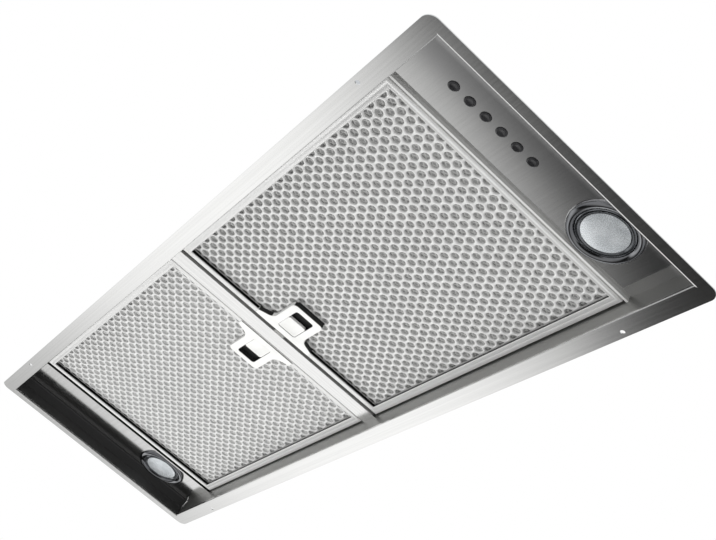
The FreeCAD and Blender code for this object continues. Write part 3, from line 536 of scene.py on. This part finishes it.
def softenEdges(bm, edges, width, segments=2):
    bmesh.ops.bevel(bm, geom=edges, offset=width, offset_type="OFFSET", segments=segments,
                    profile=0.5, affect="EDGES", clamp_overlap=True, material=-1)


# Frames of the grease filters, folded from thin sheet to a channel that is open inwards.
channel = {
    "endBar": 0.0064,
    "sideBar": 0.0085,
    "sheet": 0.0006,
    "lipFold": 0.0005,
    "backLip": 0.8,          # its reach, as a share of the front lip's
    "groove": (0.0027, 0.00351),      # from the outer edge to a pressed line on each bar
    "grooveWidth": 0.0008,
    # Across the line: shares of its width, and how deep.
    "grooveSteps": ((2, 0), (1.4, 0.00015), (0.6, 0.00015), (0, 0)),
    "slotHalf": 0.0068,
    "slotLow": 0.0207,
    "slotHigh": 0.0227,
}


# Perforated sheets of the grease filters.
honeycomb = {
    "pitch": 0.00963,       # across the flats, along Y
    "hole": 0.0041,         # radius of the round hole
    "shoulder": 0.0004,
    "shoulderDepth": 0.0004,
    "wallDepth": 0.0014,
    "wallTaper": 0.0001,
    "tuck": 0.0012,         # how far the sheet reaches past the frame's lip
    "margin": 0.0016,       # the plain strip along its edge
    "marginProud": 0.0001,
    "marginFold": (0.0002, 0.0003),     # how far in and how deep its inner edge is folded
    "rim": 0.0005,          # from the hexagon to the round hole, before it is rounded
    "rows": 27,             # holes across the sheet
    "rowsBefore": 13,       # rows on the -Y side of the middle
}


def addMargin(bm, low, high, z):
    # A plain strip along the sheet's edge, over the holes that the cut left open.
    inwards, depth = honeycomb["marginFold"]
    middle, size = (low + high) / 2, high - low
    old = set(bm.faces)
    place = Matrix.Translation((middle.x, middle.y, z)) @ Matrix.Diagonal((size.x, size.y, 1, 1))
    bmesh.ops.create_grid(bm, x_segments=1, y_segments=1, size=0.5, matrix=place)
    plate = [face for face in bm.faces if face not in old]
    if plate[0].normal.z > 0:
        bmesh.ops.reverse_faces(bm, faces=plate)
    bmesh.ops.inset_region(bm, faces=plate, thickness=honeycomb["margin"], depth=0,
                           use_boundary=True)
    bmesh.ops.inset_region(bm, faces=plate, thickness=inwards, depth=-depth)
    bmesh.ops.delete(bm, geom=plate, context="FACES")


def layRow(bm, step, count):
    bmesh.ops.spin(bm, geom=everything(bm), axis=(0, 0, 1), dvec=step, angle=0, steps=count,
                   use_duplicate=True)


def filterSheet(side):
    looks = honeycomb
    frameLow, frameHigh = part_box(f"filter_{side}_frame")
    lip = Vector((channel["endBar"] - looks["tuck"], channel["sideBar"] - looks["tuck"], 0))
    low, high = frameLow + lip, frameHigh - lip
    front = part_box(f"filter_{side}_front_mesh")[0].z
    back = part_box(f"filter_{side}_core")[1].z
    corner = looks["pitch"] / math.sqrt(3)
    column = corner * 1.5
    bm = bmesh.new()
    start = Matrix.Translation((low.x - column, -looks["pitch"] * looks["rowsBefore"], front))
    bmesh.ops.create_circle(bm, cap_ends=True, segments=6, radius=corner,
                            matrix=start @ Matrix.Rotation(math.radians(90), 4, "Z"))
    bmesh.ops.subdivide_edges(bm, edges=bm.edges[:], cuts=1)
    hole = bm.faces[:]
    bmesh.ops.recalc_face_normals(bm, faces=hole)
    if hole[0].normal.z > 0:
        bmesh.ops.reverse_faces(bm, faces=hole)
    bmesh.ops.inset_individual(bm, faces=hole, thickness=looks["rim"], depth=0)
    middle = start.translation
    for vert in hole[0].verts:
        vert.co = middle + (vert.co - middle).normalized() * looks["hole"]
    bmesh.ops.inset_individual(bm, faces=hole, thickness=looks["shoulder"],
                               depth=-looks["shoulderDepth"])
    bmesh.ops.inset_individual(bm, faces=hole, thickness=looks["wallTaper"],
                               depth=-looks["wallDepth"])
    hole[0].material_index = 1
    layRow(bm, (0, looks["pitch"], 0), looks["rows"])
    second = bmesh.ops.duplicate(bm, geom=everything(bm))["geom"]
    bmesh.ops.translate(bm, vec=(column, looks["pitch"] / 2, 0), verts=only(BMVert, second))
    layRow(bm, (column * 2, 0, 0), math.ceil((high.x - low.x) / column / 2) + 1)
    bmesh.ops.remove_doubles(bm, verts=bm.verts, dist=0.00002)
    for point, normal in ((low, (-1, 0, 0)), (low, (0, -1, 0)),
                          (high, (1, 0, 0)), (high, (0, 1, 0))):
        bmesh.ops.bisect_plane(bm, geom=everything(bm), plane_co=point, plane_no=normal,
                               clear_outer=True)
    addMargin(bm, low, high, front - looks["marginProud"])
    rear = bmesh.ops.duplicate(bm, geom=everything(bm))["geom"]
    bmesh.ops.scale(bm, vec=(1, 1, -1), space=Matrix.Translation((0, 0, -(front + back) / 2)),
                    verts=only(BMVert, rear))
    bmesh.ops.reverse_faces(bm, faces=only(BMFace, rear))
    addPiece(f"filter-sheet-{side}", bm, ["sheetAluminium", f"innerMesh{side.capitalize()}"],
             f"filter_{side}",
             [f"filter_{side}_front_mesh", f"filter_{side}_core"], sharp=50)


for side in sides:
    filterSheet(side)


def filterFrame(side, sign):
    looks = channel
    low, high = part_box(f"filter_{side}_frame")
    middle, half = (low + high) / 2, (high - low) / 2
    end, bar = looks["endBar"], looks["sideBar"]
    fold, wide, back = looks["lipFold"], looks["grooveWidth"], looks["backLip"]
    onEnd, onSide = looks["groove"]
    steps = [(end, bar, low.z + fold), (end - fold, bar - fold, low.z)]
    steps += [(onEnd + wide * share, onSide + wide * share, low.z + depth)
              for share, depth in looks["grooveSteps"]]
    steps += [(fold * 1.5, fold * 1.5, low.z), (fold * 0.4, fold * 0.4, low.z + fold * 0.4),
              (0, 0, low.z + fold * 1.5), (0, 0, high.z - fold), (fold, fold, high.z),
              (end * back, bar * back, high.z)]
    bm = bmesh.new()
    signs = ((-1, -1), (1, -1), (1, 1), (-1, 1))
    corners = {pair: bm.verts.new() for pair in signs}
    ring = [bm.edges.new((corners[signs[index - 1]], corners[pair]))
            for index, pair in enumerate(signs)]

    def putCorners(step):
        for (signX, signY), vert in corners.items():
            vert.co = (middle.x + signX * (half.x - step[0]),
                       middle.y + signY * (half.y - step[1]), step[2])

    putCorners(steps[0])
    for step in steps[1:]:
        grown = bmesh.ops.extrude_edge_only(bm, edges=ring)["geom"]
        ring = only(BMEdge, grown)
        for key, vert in list(corners.items()):
            corners[key] = next(edge.other_vert(vert) for edge in vert.link_edges
                                if edge.other_vert(vert) in grown)
        putCorners(step)
    bmesh.ops.recalc_face_normals(bm, faces=bm.faces[:])
    web = min(abs(low.x), abs(high.x)) * sign  # the wall that has a slot for the latch
    for normal, cuts in (((0, 1, 0), (looks["slotHalf"], -looks["slotHalf"])),
                         ((0, 0, 1), (looks["slotLow"], looks["slotHigh"]))):
        for place in cuts:
            wall = [face for face in bm.faces
                    if all(abs(vert.co.x - web) < 1e-6 for vert in face.verts)]
            bmesh.ops.bisect_plane(bm, geom=withBorders(wall), plane_no=normal,
                                   plane_co=Vector(normal) * place)
    slot = [face for face in bm.faces
            if abs(spot(face).x - web) < 1e-6 and abs(spot(face).y) < looks["slotHalf"]
            and looks["slotLow"] < spot(face).z < looks["slotHigh"]]
    bmesh.ops.delete(bm, geom=slot, context="FACES")
    outer = next(face for face in bm.faces if face.normal.z < -0.9)
    if spot(outer).z > middle.z:
        bmesh.ops.reverse_faces(bm, faces=bm.faces[:])
    for face in bm.faces:
        away = spot(face) - middle
        if half.y - abs(away.y) < half.x - abs(away.x):
            face.material_index = 2     # the side bars get the paler painted shade inside
    piece = addPiece(f"filter-frame-{side}", bm,
                     ["frameAluminium", "channelShade", "frameAluminium", "channelPale"],
                     f"filter_{side}", [f"filter_{side}_frame"])
    thicken = piece.modifiers.new("sheet", "SOLIDIFY")
    thicken.thickness = looks["sheet"]
    thicken.offset = -1
    # The inner shell takes the painted shade finishes.
    thicken.material_offset = 1


for side, sign in sides.items():
    filterFrame(side, sign)


# Latches: a plate with flared feet round a window, a finger slider, and a black sheet behind them
# that is painted shadow.
latch = {
    "flare": 0.006,
    "corner": 0.0045,
    "windowCorner": 0.0028,
    "edge": 0.0013,
    "thick": 0.0047,
    "footLength": 0.006,
    "bodyStart": 0.0262,
    "bodyHalf": 0.018,
    "windowStart": 0.022,
    "windowEnd": 0.058,
    "windowHalf": 0.0104,
    "shadowReach": 0.0006,
    "shadowLift": 0.0049,
    "shadowThick": 0.0004,
    "shadowPast": 0.001,      # past the window on each side
    "shadowEdge": 0.0001,
    "shadowSides": (-0.015, 0.017),      # at the far end, clear of the plate's round corners
    "padStart": 0.0223,
    "padCorner": 0.0022,
    "padThick": 0.0024,
    "padSteps": ((0.0004, 0.0002), (0.0009, 0.0), (0.0005, -0.0003)),   # its rim and thumb dish
    "tongueShort": 0.0034,
    "tongueWidth": 0.012,
    "tongueThick": 0.0014,
    "tongueEdge": 0.0003,
}


def outline(bm, points, z, sign):
    verts = [bm.verts.new((x * sign, y, z)) for x, y in points]
    return [bm.edges.new((verts[index - 1], verts[index])) for index in range(len(verts))]


def roundCorners(bm, corners, radius, segments=5):
    bmesh.ops.bevel(bm, geom=corners, offset=radius, offset_type="OFFSET", segments=segments,
                    profile=0.5, affect="VERTICES", clamp_overlap=True, material=-1)


def raiseFace(bm, faces, height):
    grown = bmesh.ops.extrude_face_region(bm, geom=faces)["geom"]
    bmesh.ops.translate(bm, vec=(0, 0, height), verts=only(BMVert, grown))


def latchPlate(side, sign):
    looks = latch
    low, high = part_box(f"filter_{side}_latch_plate")
    inner, outer = sorted((abs(low.x), abs(high.x)))
    reach = high.y                      # half the foot's width
    foot = inner + looks["footLength"]
    half, windowHalf = looks["bodyHalf"], looks["windowHalf"]
    windowStart, windowEnd = looks["windowStart"], looks["windowEnd"]
    bm = bmesh.new()
    points = [(inner, -reach), (foot, -reach), (looks["bodyStart"], -half), (outer, -half),
              (outer, half), (looks["bodyStart"], half), (foot, reach), (inner, reach)]
    outline(bm, points, low.z, sign)
    roundCorners(bm, [vert for vert in bm.verts if abs(vert.co.x) > looks["bodyStart"] + 0.001
                      and abs(vert.co.y) > half - 0.001], looks["corner"])
    bends = [vert for vert in bm.verts if abs(abs(vert.co.x) - looks["bodyStart"]) < 1e-5]
    roundCorners(bm, bends, looks["flare"])
    hole = outline(bm, ((windowStart, -windowHalf), (windowEnd, -windowHalf),
                        (windowEnd, windowHalf), (windowStart, windowHalf)), low.z, sign)
    roundCorners(bm, sorted({vert for edge in hole if edge.is_valid for vert in edge.verts},
                            key=lambda vert: vert.index), looks["windowCorner"], 4)
    filled = bmesh.ops.triangle_fill(bm, use_beauty=True, edges=bm.edges[:])["geom"]
    raiseFace(bm, only(BMFace, filled), looks["thick"])
    outwards(bm)
    softenEdges(bm, [edge for edge in bm.edges if edge.is_manifold
                     and edge.calc_face_angle(0) > math.radians(50)
                     and all(abs(vert.co.z - low.z) < 1e-5 for vert in edge.verts)],
                looks["edge"], 3)
    # Painted shade: the window's walls and the outer end wall take the near black finish.
    for face in bm.faces:
        place = spot(face)
        upright = abs(face.normal.z) < 0.25
        inWindow = abs(place.y) < windowHalf + 1e-4 and abs(place.x) < windowEnd + 1e-4
        if upright and (inWindow or face.normal.x * sign > 0.6):
            face.material_index = 1
    addPiece(f"latch-plate-{side}", bm, ["latchPlastic", "slotBlack"], f"filter_{side}",
             [f"filter_{side}_latch_plate"])

    # A thin black sheet under the latch: painted shadow round its window and along its outer edge.
    shadowSheet = bmesh.new()
    shadowEnd = outer + looks["shadowReach"]
    near, far = looks["shadowSides"]
    shadowHalf = windowHalf + looks["shadowPast"]
    outline(shadowSheet, ((windowStart, -shadowHalf), (shadowEnd, near), (shadowEnd, far),
                     (windowStart, shadowHalf)), low.z + looks["shadowLift"], sign)
    bmesh.ops.contextual_create(shadowSheet, geom=shadowSheet.edges[:])
    raiseFace(shadowSheet, shadowSheet.faces[:], looks["shadowThick"])
    outwards(shadowSheet)
    softenEdges(shadowSheet, shadowSheet.edges[:], looks["shadowEdge"], 1)
    addPiece(f"latch-shadow-sheet-{side}", shadowSheet, ["slotBlack"], f"filter_{side}")


def latchSlider(side, sign):
    looks = latch
    low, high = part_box(f"filter_{side}_latch_slider")
    inner = looks["padStart"]
    inside, outer = sorted((abs(low.x), abs(high.x)))
    bm = bmesh.new()
    outline(bm, ((inner, low.y), (outer, low.y), (outer, high.y), (inner, high.y)), low.z, sign)
    roundCorners(bm, bm.verts[:], looks["padCorner"], 4)
    bmesh.ops.contextual_create(bm, geom=bm.edges[:])
    face = bm.faces[:]
    if face[0].normal.z > 0:
        bmesh.ops.reverse_faces(bm, faces=face)
    raiseFace(bm, face, looks["padThick"])
    outwards(bm)
    thumb = [face for face in bm.faces if face.normal.z < -0.9]
    for thickness, depth in looks["padSteps"]:
        bmesh.ops.inset_region(bm, faces=thumb, thickness=thickness, depth=depth,
                               use_even_offset=True)
    tongue = bmesh.ops.create_cube(bm, size=1.0)["verts"]
    end, thick = outer - looks["tongueShort"], looks["tongueThick"]
    bmesh.ops.scale(bm, vec=(end - inside, looks["tongueWidth"], thick), verts=tongue)
    bmesh.ops.translate(bm, vec=((inside + end) / 2 * sign, 0, high.z - thick / 2), verts=tongue)
    softenEdges(bm, [edge for edge in bm.edges if edge.verts[0] in tongue
                     and edge.verts[1] in tongue], looks["tongueEdge"])
    addPiece(f"latch-slider-{side}", bm, ["sliderPlastic"], f"latch_{side}",
             [f"filter_{side}_latch_slider"])


for side, sign in sides.items():
    latchPlate(side, sign)
    latchSlider(side, sign)


# Lamps: a rounded chrome bezel, a stepped dark ring and a domed frosted lens.
lamp = {
    "bezelWidth": 0.0072,
    "bezelSteps": 14,
    "ringGap": 0.0002,
    "ringInner": 0.0190,
    # The ring's grooves: in from its outer edge, or out from its inner one, and the height.
    "outerGrooves": ((0, 0.0008), (0.0006, 0.0004), (0.0011, 0.0012), (0.0019, 0.0013),
                     (0.0022, 0.0006)),
    "innerGrooves": ((0.0012, 0.0009), (0.0004, 0.0016)),
    "lensRadius": 0.0189,
    "lensDome": 0.0010,
    "lensShares": (0.25, 0.5, 0.7, 0.85, 0.95, 1.0),
    "lensThick": 0.0018,
    "lensRim": (0.002, 0.003, 0.0008),    # its width at the back and at its root, and its fillet
}


def lampPieces(side):
    looks = lamp
    bezel = f"lamp_{side}_bezel"
    low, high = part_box(bezel)
    radius = (high.x - low.x) / 2
    front, seat = low.z, high.z
    half = looks["bezelWidth"] / 2
    turns = [math.pi * step / looks["bezelSteps"] for step in range(looks["bezelSteps"] + 1)]
    rim = [(radius - half - half * math.cos(turn), seat - (seat - front) * math.sin(turn))
           for turn in turns]
    turnPiece(f"lamp-bezel-{side}", rim + rim[:1], bezel, 96, "chrome", "casing")

    low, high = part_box(f"lamp_{side}_gasket")
    outer, inner = radius - looks["bezelWidth"] - looks["ringGap"], looks["ringInner"]
    ring = [(outer, seat)]
    ring += [(outer - inwards, low.z + up) for inwards, up in looks["outerGrooves"]]
    ring += [(inner + out, low.z + up) for out, up in looks["innerGrooves"]]
    ring += [(inner, high.z), (outer, high.z), (outer, seat)]
    turnPiece(f"lamp-ring-{side}", ring, f"lamp_{side}_gasket", 96, "darkRing", "casing",
              bezel)

    low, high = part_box(f"lamp_{side}_lens")
    wide, thick = looks["lensRadius"], looks["lensThick"]
    dome = [(0, low.z)] + [(wide * share, low.z + looks["lensDome"] * share ** 3)
                           for share in looks["lensShares"]]
    top, root, fillet = looks["lensRim"]
    dome += [(wide, high.z), (wide - top, high.z), (wide - root, low.z + thick + fillet),
             (0, low.z + thick)]
    turnPiece(f"lamp-lens-{side}", dome, f"lamp_{side}_lens", 72, "frostedLens", "casing",
              bezel)


for side in sides:
    lampPieces(side)


# Push buttons, each turned from one profile with a shallow dish in its cap.
button = {
    "cap": ((0, 0.0005), (0.0012, 0.0004), (0.0022, 0.00015), (0.0030, 0.00002), (0.0036, 0),
            (0.0040, 0.00018), (0.0043, 0.0005), (0.0044, 0.0009), (0.0044, 0.0025)),
    "collar": (0.0025, 0.0035),
    "stem": 0.002,
    "names": ("button_stop", "button_speed_one", "button_speed_two", "button_speed_three",
              "button_boost", "button_light"),
}


def pushButton(name):
    low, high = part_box(name)
    collar, stem = (high.x - low.x) / 2, button["stem"]
    start, end = button["collar"]
    profile = [*button["cap"], (collar, start), (collar, end), (stem, end)]
    profile = [(radius, low.z + up) for radius, up in profile] + [(stem, high.z), (0, high.z)]
    turnPiece(name.replace("_", "-"), profile, name, 48, "buttonBlack", name)


for name in button["names"]:
    pushButton(name)


# Pan head screws with a cross recess, one for each screw of the CAD node.
screw = {
    "head": 0.0036,
    "headHeight": 0.0018,
    "shank": 0.0016,
    "recess": 0.0019,
    "recessHalf": 0.0004,
    "recessDepth": 0.0009,
    "crown": 0.96,          # height at the rim of the recess, as a share of the head's
    "capFrom": 0.9,         # share of the height above which the head is cut for the cross
    "tip": 0.6,             # share of the shank's radius that its end tapers by
    # The dome of the head: share of its radius and of its height.
    "dome": ((0.7, 0.86), (0.9, 0.58), (1, 0.2), (1, 0)),
}


def crossScrew(length):
    bm = bmesh.new()
    head, high, shank, recess = (screw[key] for key in ("head", "headHeight", "shank", "recess"))
    crown, tip = high * screw["crown"], shank * screw["tip"]
    dome = [(head * across, high * up) for across, up in screw["dome"]]
    turnProfile(bm, [(0, high), (recess, crown), *dome, (shank, 0), (shank, tip - length),
                     (shank - tip, -length), (0, -length)], (0, 0, 0), steps=24)
    outwards(bm)
    for normal in ((1, 0, 0), (0, 1, 0)):
        for side in (-1, 1):
            cap = [face for face in bm.faces if spot(face).z > high * screw["capFrom"]]
            bmesh.ops.bisect_plane(bm, geom=withBorders(cap), plane_no=normal,
                                   plane_co=Vector(normal) * screw["recessHalf"] * side)
    cross = [face for face in bm.faces if spot(face).z > crown
             and min(abs(spot(face).x), abs(spot(face).y)) < screw["recessHalf"]]
    raiseFace(bm, cross, -screw["recessDepth"])
    bmesh.ops.delete(bm, geom=cross, context="FACES")
    one = bpy.data.meshes.new("one screw")
    bm.to_mesh(one)
    bm.free()
    return one


def screwBoxes(name):
    bm = bmesh.new()
    bm.from_mesh(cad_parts[name].data)
    bmesh.ops.remove_doubles(bm, verts=bm.verts, dist=1e-6)
    left = set(bm.verts)
    boxes = []
    while left:  # each loose shell is one screw
        waiting, island = [left.pop()], []
        while waiting:
            vert = waiting.pop()
            island.append(vert.co.copy())
            near = {edge.other_vert(vert) for edge in vert.link_edges} & left
            left -= near
            waiting += near
        boxes.append(tuple(Vector(pick(point[axis] for point in island) for axis in range(3))
                           for pick in (min, max)))
    bm.free()
    return sorted(boxes, key=lambda pair: tuple(pair[0]))


def screwSet(name, axis):
    bm = bmesh.new()
    for low, high in screwBoxes(name):
        way = Vector(axis)
        if axis[1] and low.y < 0:
            way = -way
        middle = (low + high) / 2
        reach = abs((high - low).dot(way)) / 2
        seat = middle + way * (reach - screw["headHeight"])
        one = crossScrew(2 * reach - screw["headHeight"])
        one.transform(Matrix.Translation(seat)
                      @ Vector((0, 0, 1)).rotation_difference(way).to_matrix().to_4x4())
        bm.from_mesh(one)
        bpy.data.meshes.remove(one)
    addPiece(name.replace("_", "-"), bm, ["platedSteel"], "casing", [name])


screwSet("casing_screws", (0, 1, 0))
screwSet("collar_screws", (0, 0, 1))


# Duct collar with two stiffening beads, and the gland of the terminal box.
collar = {
    "outer": 0.0749,
    "wall": 0.0009,
    "foot": 0.0012,
    "bead": 0.0009,
    "beadHalf": 0.0022,
    "beadHeights": (0.009, 0.037),
    "beadSteps": (-1, -0.6, -0.25, 0, 0.25, 0.6, 1),
    "rim": 0.0004,
    # The fold at the foot: out from the wall, and up from the foot's top.
    "fold": ((0.0012, 0), (0.0004, 0.0003), (0, 0.0012)),
}


def ductCollar():
    looks = collar
    low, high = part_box("duct_collar")
    foot, rim = (high.x - low.x) / 2, looks["rim"]
    inner, outer = looks["outer"] - looks["wall"], looks["outer"]
    top = low.z + looks["foot"]
    profile = [(inner, low.z), (foot, low.z), (foot, low.z + looks["foot"] * 0.7),
               (foot - rim, top)] + [(outer + out, top + up) for out, up in looks["fold"]]
    for height in looks["beadHeights"]:
        for step in looks["beadSteps"]:
            rise = looks["bead"] * (0.5 + 0.5 * math.cos(math.pi * step))
            profile.append((outer + rise, low.z + height + looks["beadHalf"] * step))
    profile += [(outer, high.z - rim), (outer - rim, high.z), (inner + rim * 0.5, high.z),
                (inner, high.z - rim * 0.5), (inner, low.z)]
    turnPiece("duct-collar", profile, "duct_collar", 120, "blackPlastic", "casing")


gland = {
    "bore": 0.0041,
    "nutHeight": 0.0045,
    "nutEdge": 0.0005,
    "nutFace": 0.94,        # of its radius across the corners
    "thread": 0.0069,
    "cap": 0.0078,
    "mouth": 0.0058,
    "mouthEdge": (0.0008, 0.97),     # outside it, and where it starts along the length
    "boreEdge": (0.0006, 0.93),
    "dome": ((1, 0.68), (0.94, 0.8)),     # shares of the cap's radius and of the length
}


def cableGland():
    looks = gland
    low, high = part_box("cable_gland")
    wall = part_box("terminal_box")[1].x
    centre = (wall, (low.y + high.y) / 2, (low.z + high.z) / 2)
    across = (high.z - low.z) / 2
    length = high.x - wall
    bore, high, edge = looks["bore"], looks["nutHeight"], looks["nutEdge"]
    face, wide, mouth = across * looks["nutFace"], looks["cap"], looks["mouth"]
    inside = low.x - wall
    (mouthOut, mouthStart), (boreOut, boreStart) = looks["mouthEdge"], looks["boreEdge"]
    nut = [(bore, 0), (face, 0), (across, edge), (across, high - edge), (face, high), (bore, high)]
    cap = [(bore, high), (wide, high), *((wide * out, length * up) for out, up in looks["dome"]),
           (mouth + mouthOut, length * mouthStart), (mouth, length), (bore + boreOut, length),
           (bore, length * boreStart)]
    thread = [(bore, 0), (bore, inside), (looks["thread"], inside), (looks["thread"], 0)]
    bm = bmesh.new()
    for profile, steps in ((nut, 6), (cap, 40), (thread, 32)):
        turnProfile(bm, profile + profile[:1], centre, axis=(1, 0, 0), steps=steps)
    bmesh.ops.recalc_face_normals(bm, faces=bm.faces)
    addPiece("cable-gland", bm, ["blackPlastic"], "casing", ["cable_gland"])


ductCollar()
cableGland()


# The CAD nodes that keep their own shape get their finish here.
nodeFinishes = {
    "flangeSteel": ("mounting_flange",),
    "controlSteel": ("control_panel",),
    "lampSteel": ("lamp_panel",),
    "crossbarSteel": ("crossbar",),
    "casingZinc": ("plenum_front", "plenum_back", "plenum_left_end", "plenum_right_end",
                   "plenum_cover", "tower_front", "tower_back", "tower_left_end",
                   "tower_right_end", "tower_roof", "motor_bracket"),
    "frameAluminium": ("filter_right_pivot_tabs", "filter_left_pivot_tabs"),
    "blackPlastic": ("blower_scroll", "damper_flap_left", "damper_flap_right", "switch_block"),
    "greyPlastic": ("terminal_box", "terminal_lid", "impeller"),
    "darkSteel": ("motor", "lamp_right_housing", "lamp_left_housing"),
    "platedSteel": ("motor_shaft", "damper_pin"),
    "bulbGlass": ("lamp_right_bulb", "lamp_left_bulb"),
    "circuitBoard": ("circuit_board",),
}


def finishNodes():
    for finish, names in nodeFinishes.items():
        for name in names:
            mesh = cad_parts[name].data
            mesh.materials.clear()
            mesh.materials.append(finishes[finish])


finishNodes()
print("nodes finished")


# A pale floor that only the camera sees, from above.
studio = {
    "floor": -1.3,
    "floorSize": 60.0,
    "floorColour": (0.93, 0.93, 0.93),
    "soft": 0.9,
    "mirrored": 1.2,
    "sideGrey": (0.45, 0.45, 0.46),
    "topGrey": (0.72, 0.73, 0.75),
    "sideChange": (0.5, 0.8),         # along the reflected direction's Y
    "topChange": (-0.05, 0.25),       # and along its Z
    "lampPower": 31.0,
    "lampPlace": (-1.6, 0.1, -1.9),   # under the floor, which lets its light through
    "lampSize": 1.2,
}


def mixShaders(tree, factor, first, second):
    mix = addNode(tree, "ShaderNodeMixShader")
    for socket, source in zip(mix.inputs, (factor, first.outputs[0], second.outputs[0])):
        fill(socket, source)
    return mix


def layFloor():
    bm = bmesh.new()
    bmesh.ops.create_grid(bm, x_segments=1, y_segments=1, size=studio["floorSize"] / 2,
                          matrix=Matrix.Translation((0, 0, studio["floor"])))
    floor, mesh = makeObject("floor", bm)
    material = bpy.data.materials.new("floorPaper")
    material.use_nodes = True
    tree = material.node_tree
    tree.nodes.clear()
    paper = addNode(tree, "ShaderNodeBsdfDiffuse", Color=(*studio["floorColour"], 1))
    clear = addNode(tree, "ShaderNodeBsdfTransparent")
    rays = addNode(tree, "ShaderNodeLightPath")
    below = addNode(tree, "ShaderNodeNewGeometry").outputs["Backfacing"]
    seen = multiply(tree, rays.outputs["Is Camera Ray"], maths(tree, "SUBTRACT", 1.0, below))
    addNode(tree, "ShaderNodeOutputMaterial",
            Surface=mixShaders(tree, seen, clear, paper).outputs[0])
    mesh.materials.append(material)


# What polished steel reflects: a bright wall at -X, grey below, dark at +X, grey elsewhere.
# Each stop is the X of the reflected direction and the brightness there.
roomStops = [(-1.0, 0.5), (-0.93, 0.47), (-0.915, 0.47), (-0.9, 0.56), (-0.885, 0.67),
             (-0.86, 0.87), (-0.83, 0.95), (-0.79, 0.98), (-0.76, 0.96), (-0.73, 0.89),
             (-0.71, 0.79), (-0.69, 0.69), (-0.67, 0.56), (-0.655, 0.4), (-0.64, 0.25),
             (-0.62, 0.11), (-0.6, 0.045), (-0.57, 0.022), (-0.47, 0.03), (-0.28, 0.36),
             (0.0, 0.5), (0.28, 0.42), (0.5, 0.08), (0.7, 0.014), (1.0, 0.012)]


def lightRoom():
    world = bpy.data.worlds.new("studio")
    bpy.context.scene.world = world
    world.use_nodes = True
    tree = world.node_tree
    tree.nodes.clear()
    direction = addNode(tree, "ShaderNodeTexCoord").outputs["Generated"]
    along = splitPlace(tree, direction)
    spread = addNode(tree, "ShaderNodeMapRange", Value=along["X"], From_Min=-1.0, From_Max=1.0)
    ramp = addNode(tree, "ShaderNodeValToRGB", Fac=spread.outputs["Result"])
    stops = ramp.color_ramp.elements
    for index, (reach, level) in enumerate(roomStops):
        place = (reach + 1) / 2
        stop = stops[index] if index < 2 else stops.new(place)
        stop.position = place
        stop.color = (level, level, level, 1)
    aside = remap(tree, maths(tree, "ABSOLUTE", along["Y"]), *studio["sideChange"])
    sideways = blendColour(tree, aside, ramp.outputs["Color"], studio["sideGrey"])
    upwards = remap(tree, along["Z"], *studio["topChange"])
    room = blendColour(tree, upwards, sideways, studio["topGrey"])
    rays = addNode(tree, "ShaderNodeLightPath")
    white = (1, 1, 1, 1)
    plain, mirror, paper = (
        addNode(tree, "ShaderNodeBackground", Color=colour, Strength=level)
        for colour, level in ((white, studio["soft"]), (room, studio["mirrored"]), (white, 1.0)))
    lit = mixShaders(tree, rays.outputs["Is Glossy Ray"], plain, mirror)
    shown = mixShaders(tree, rays.outputs["Is Camera Ray"], lit, paper)
    addNode(tree, "ShaderNodeOutputWorld", Surface=shown.outputs[0])


def hangLamp():
    data = bpy.data.lights.new("keyLamp", "AREA")
    data.energy = studio["lampPower"]
    data.size = studio["lampSize"]
    key = bpy.data.objects.new("keyLamp", data)
    bpy.context.scene.collection.objects.link(key)
    key.location = studio["lampPlace"]
    key.rotation_euler = (-key.location).to_track_quat("-Z", "Y").to_euler()
    key.visible_glossy = False
    key.visible_camera = False


layFloor()
lightRoom()
hangLamp()
print("studio lit")
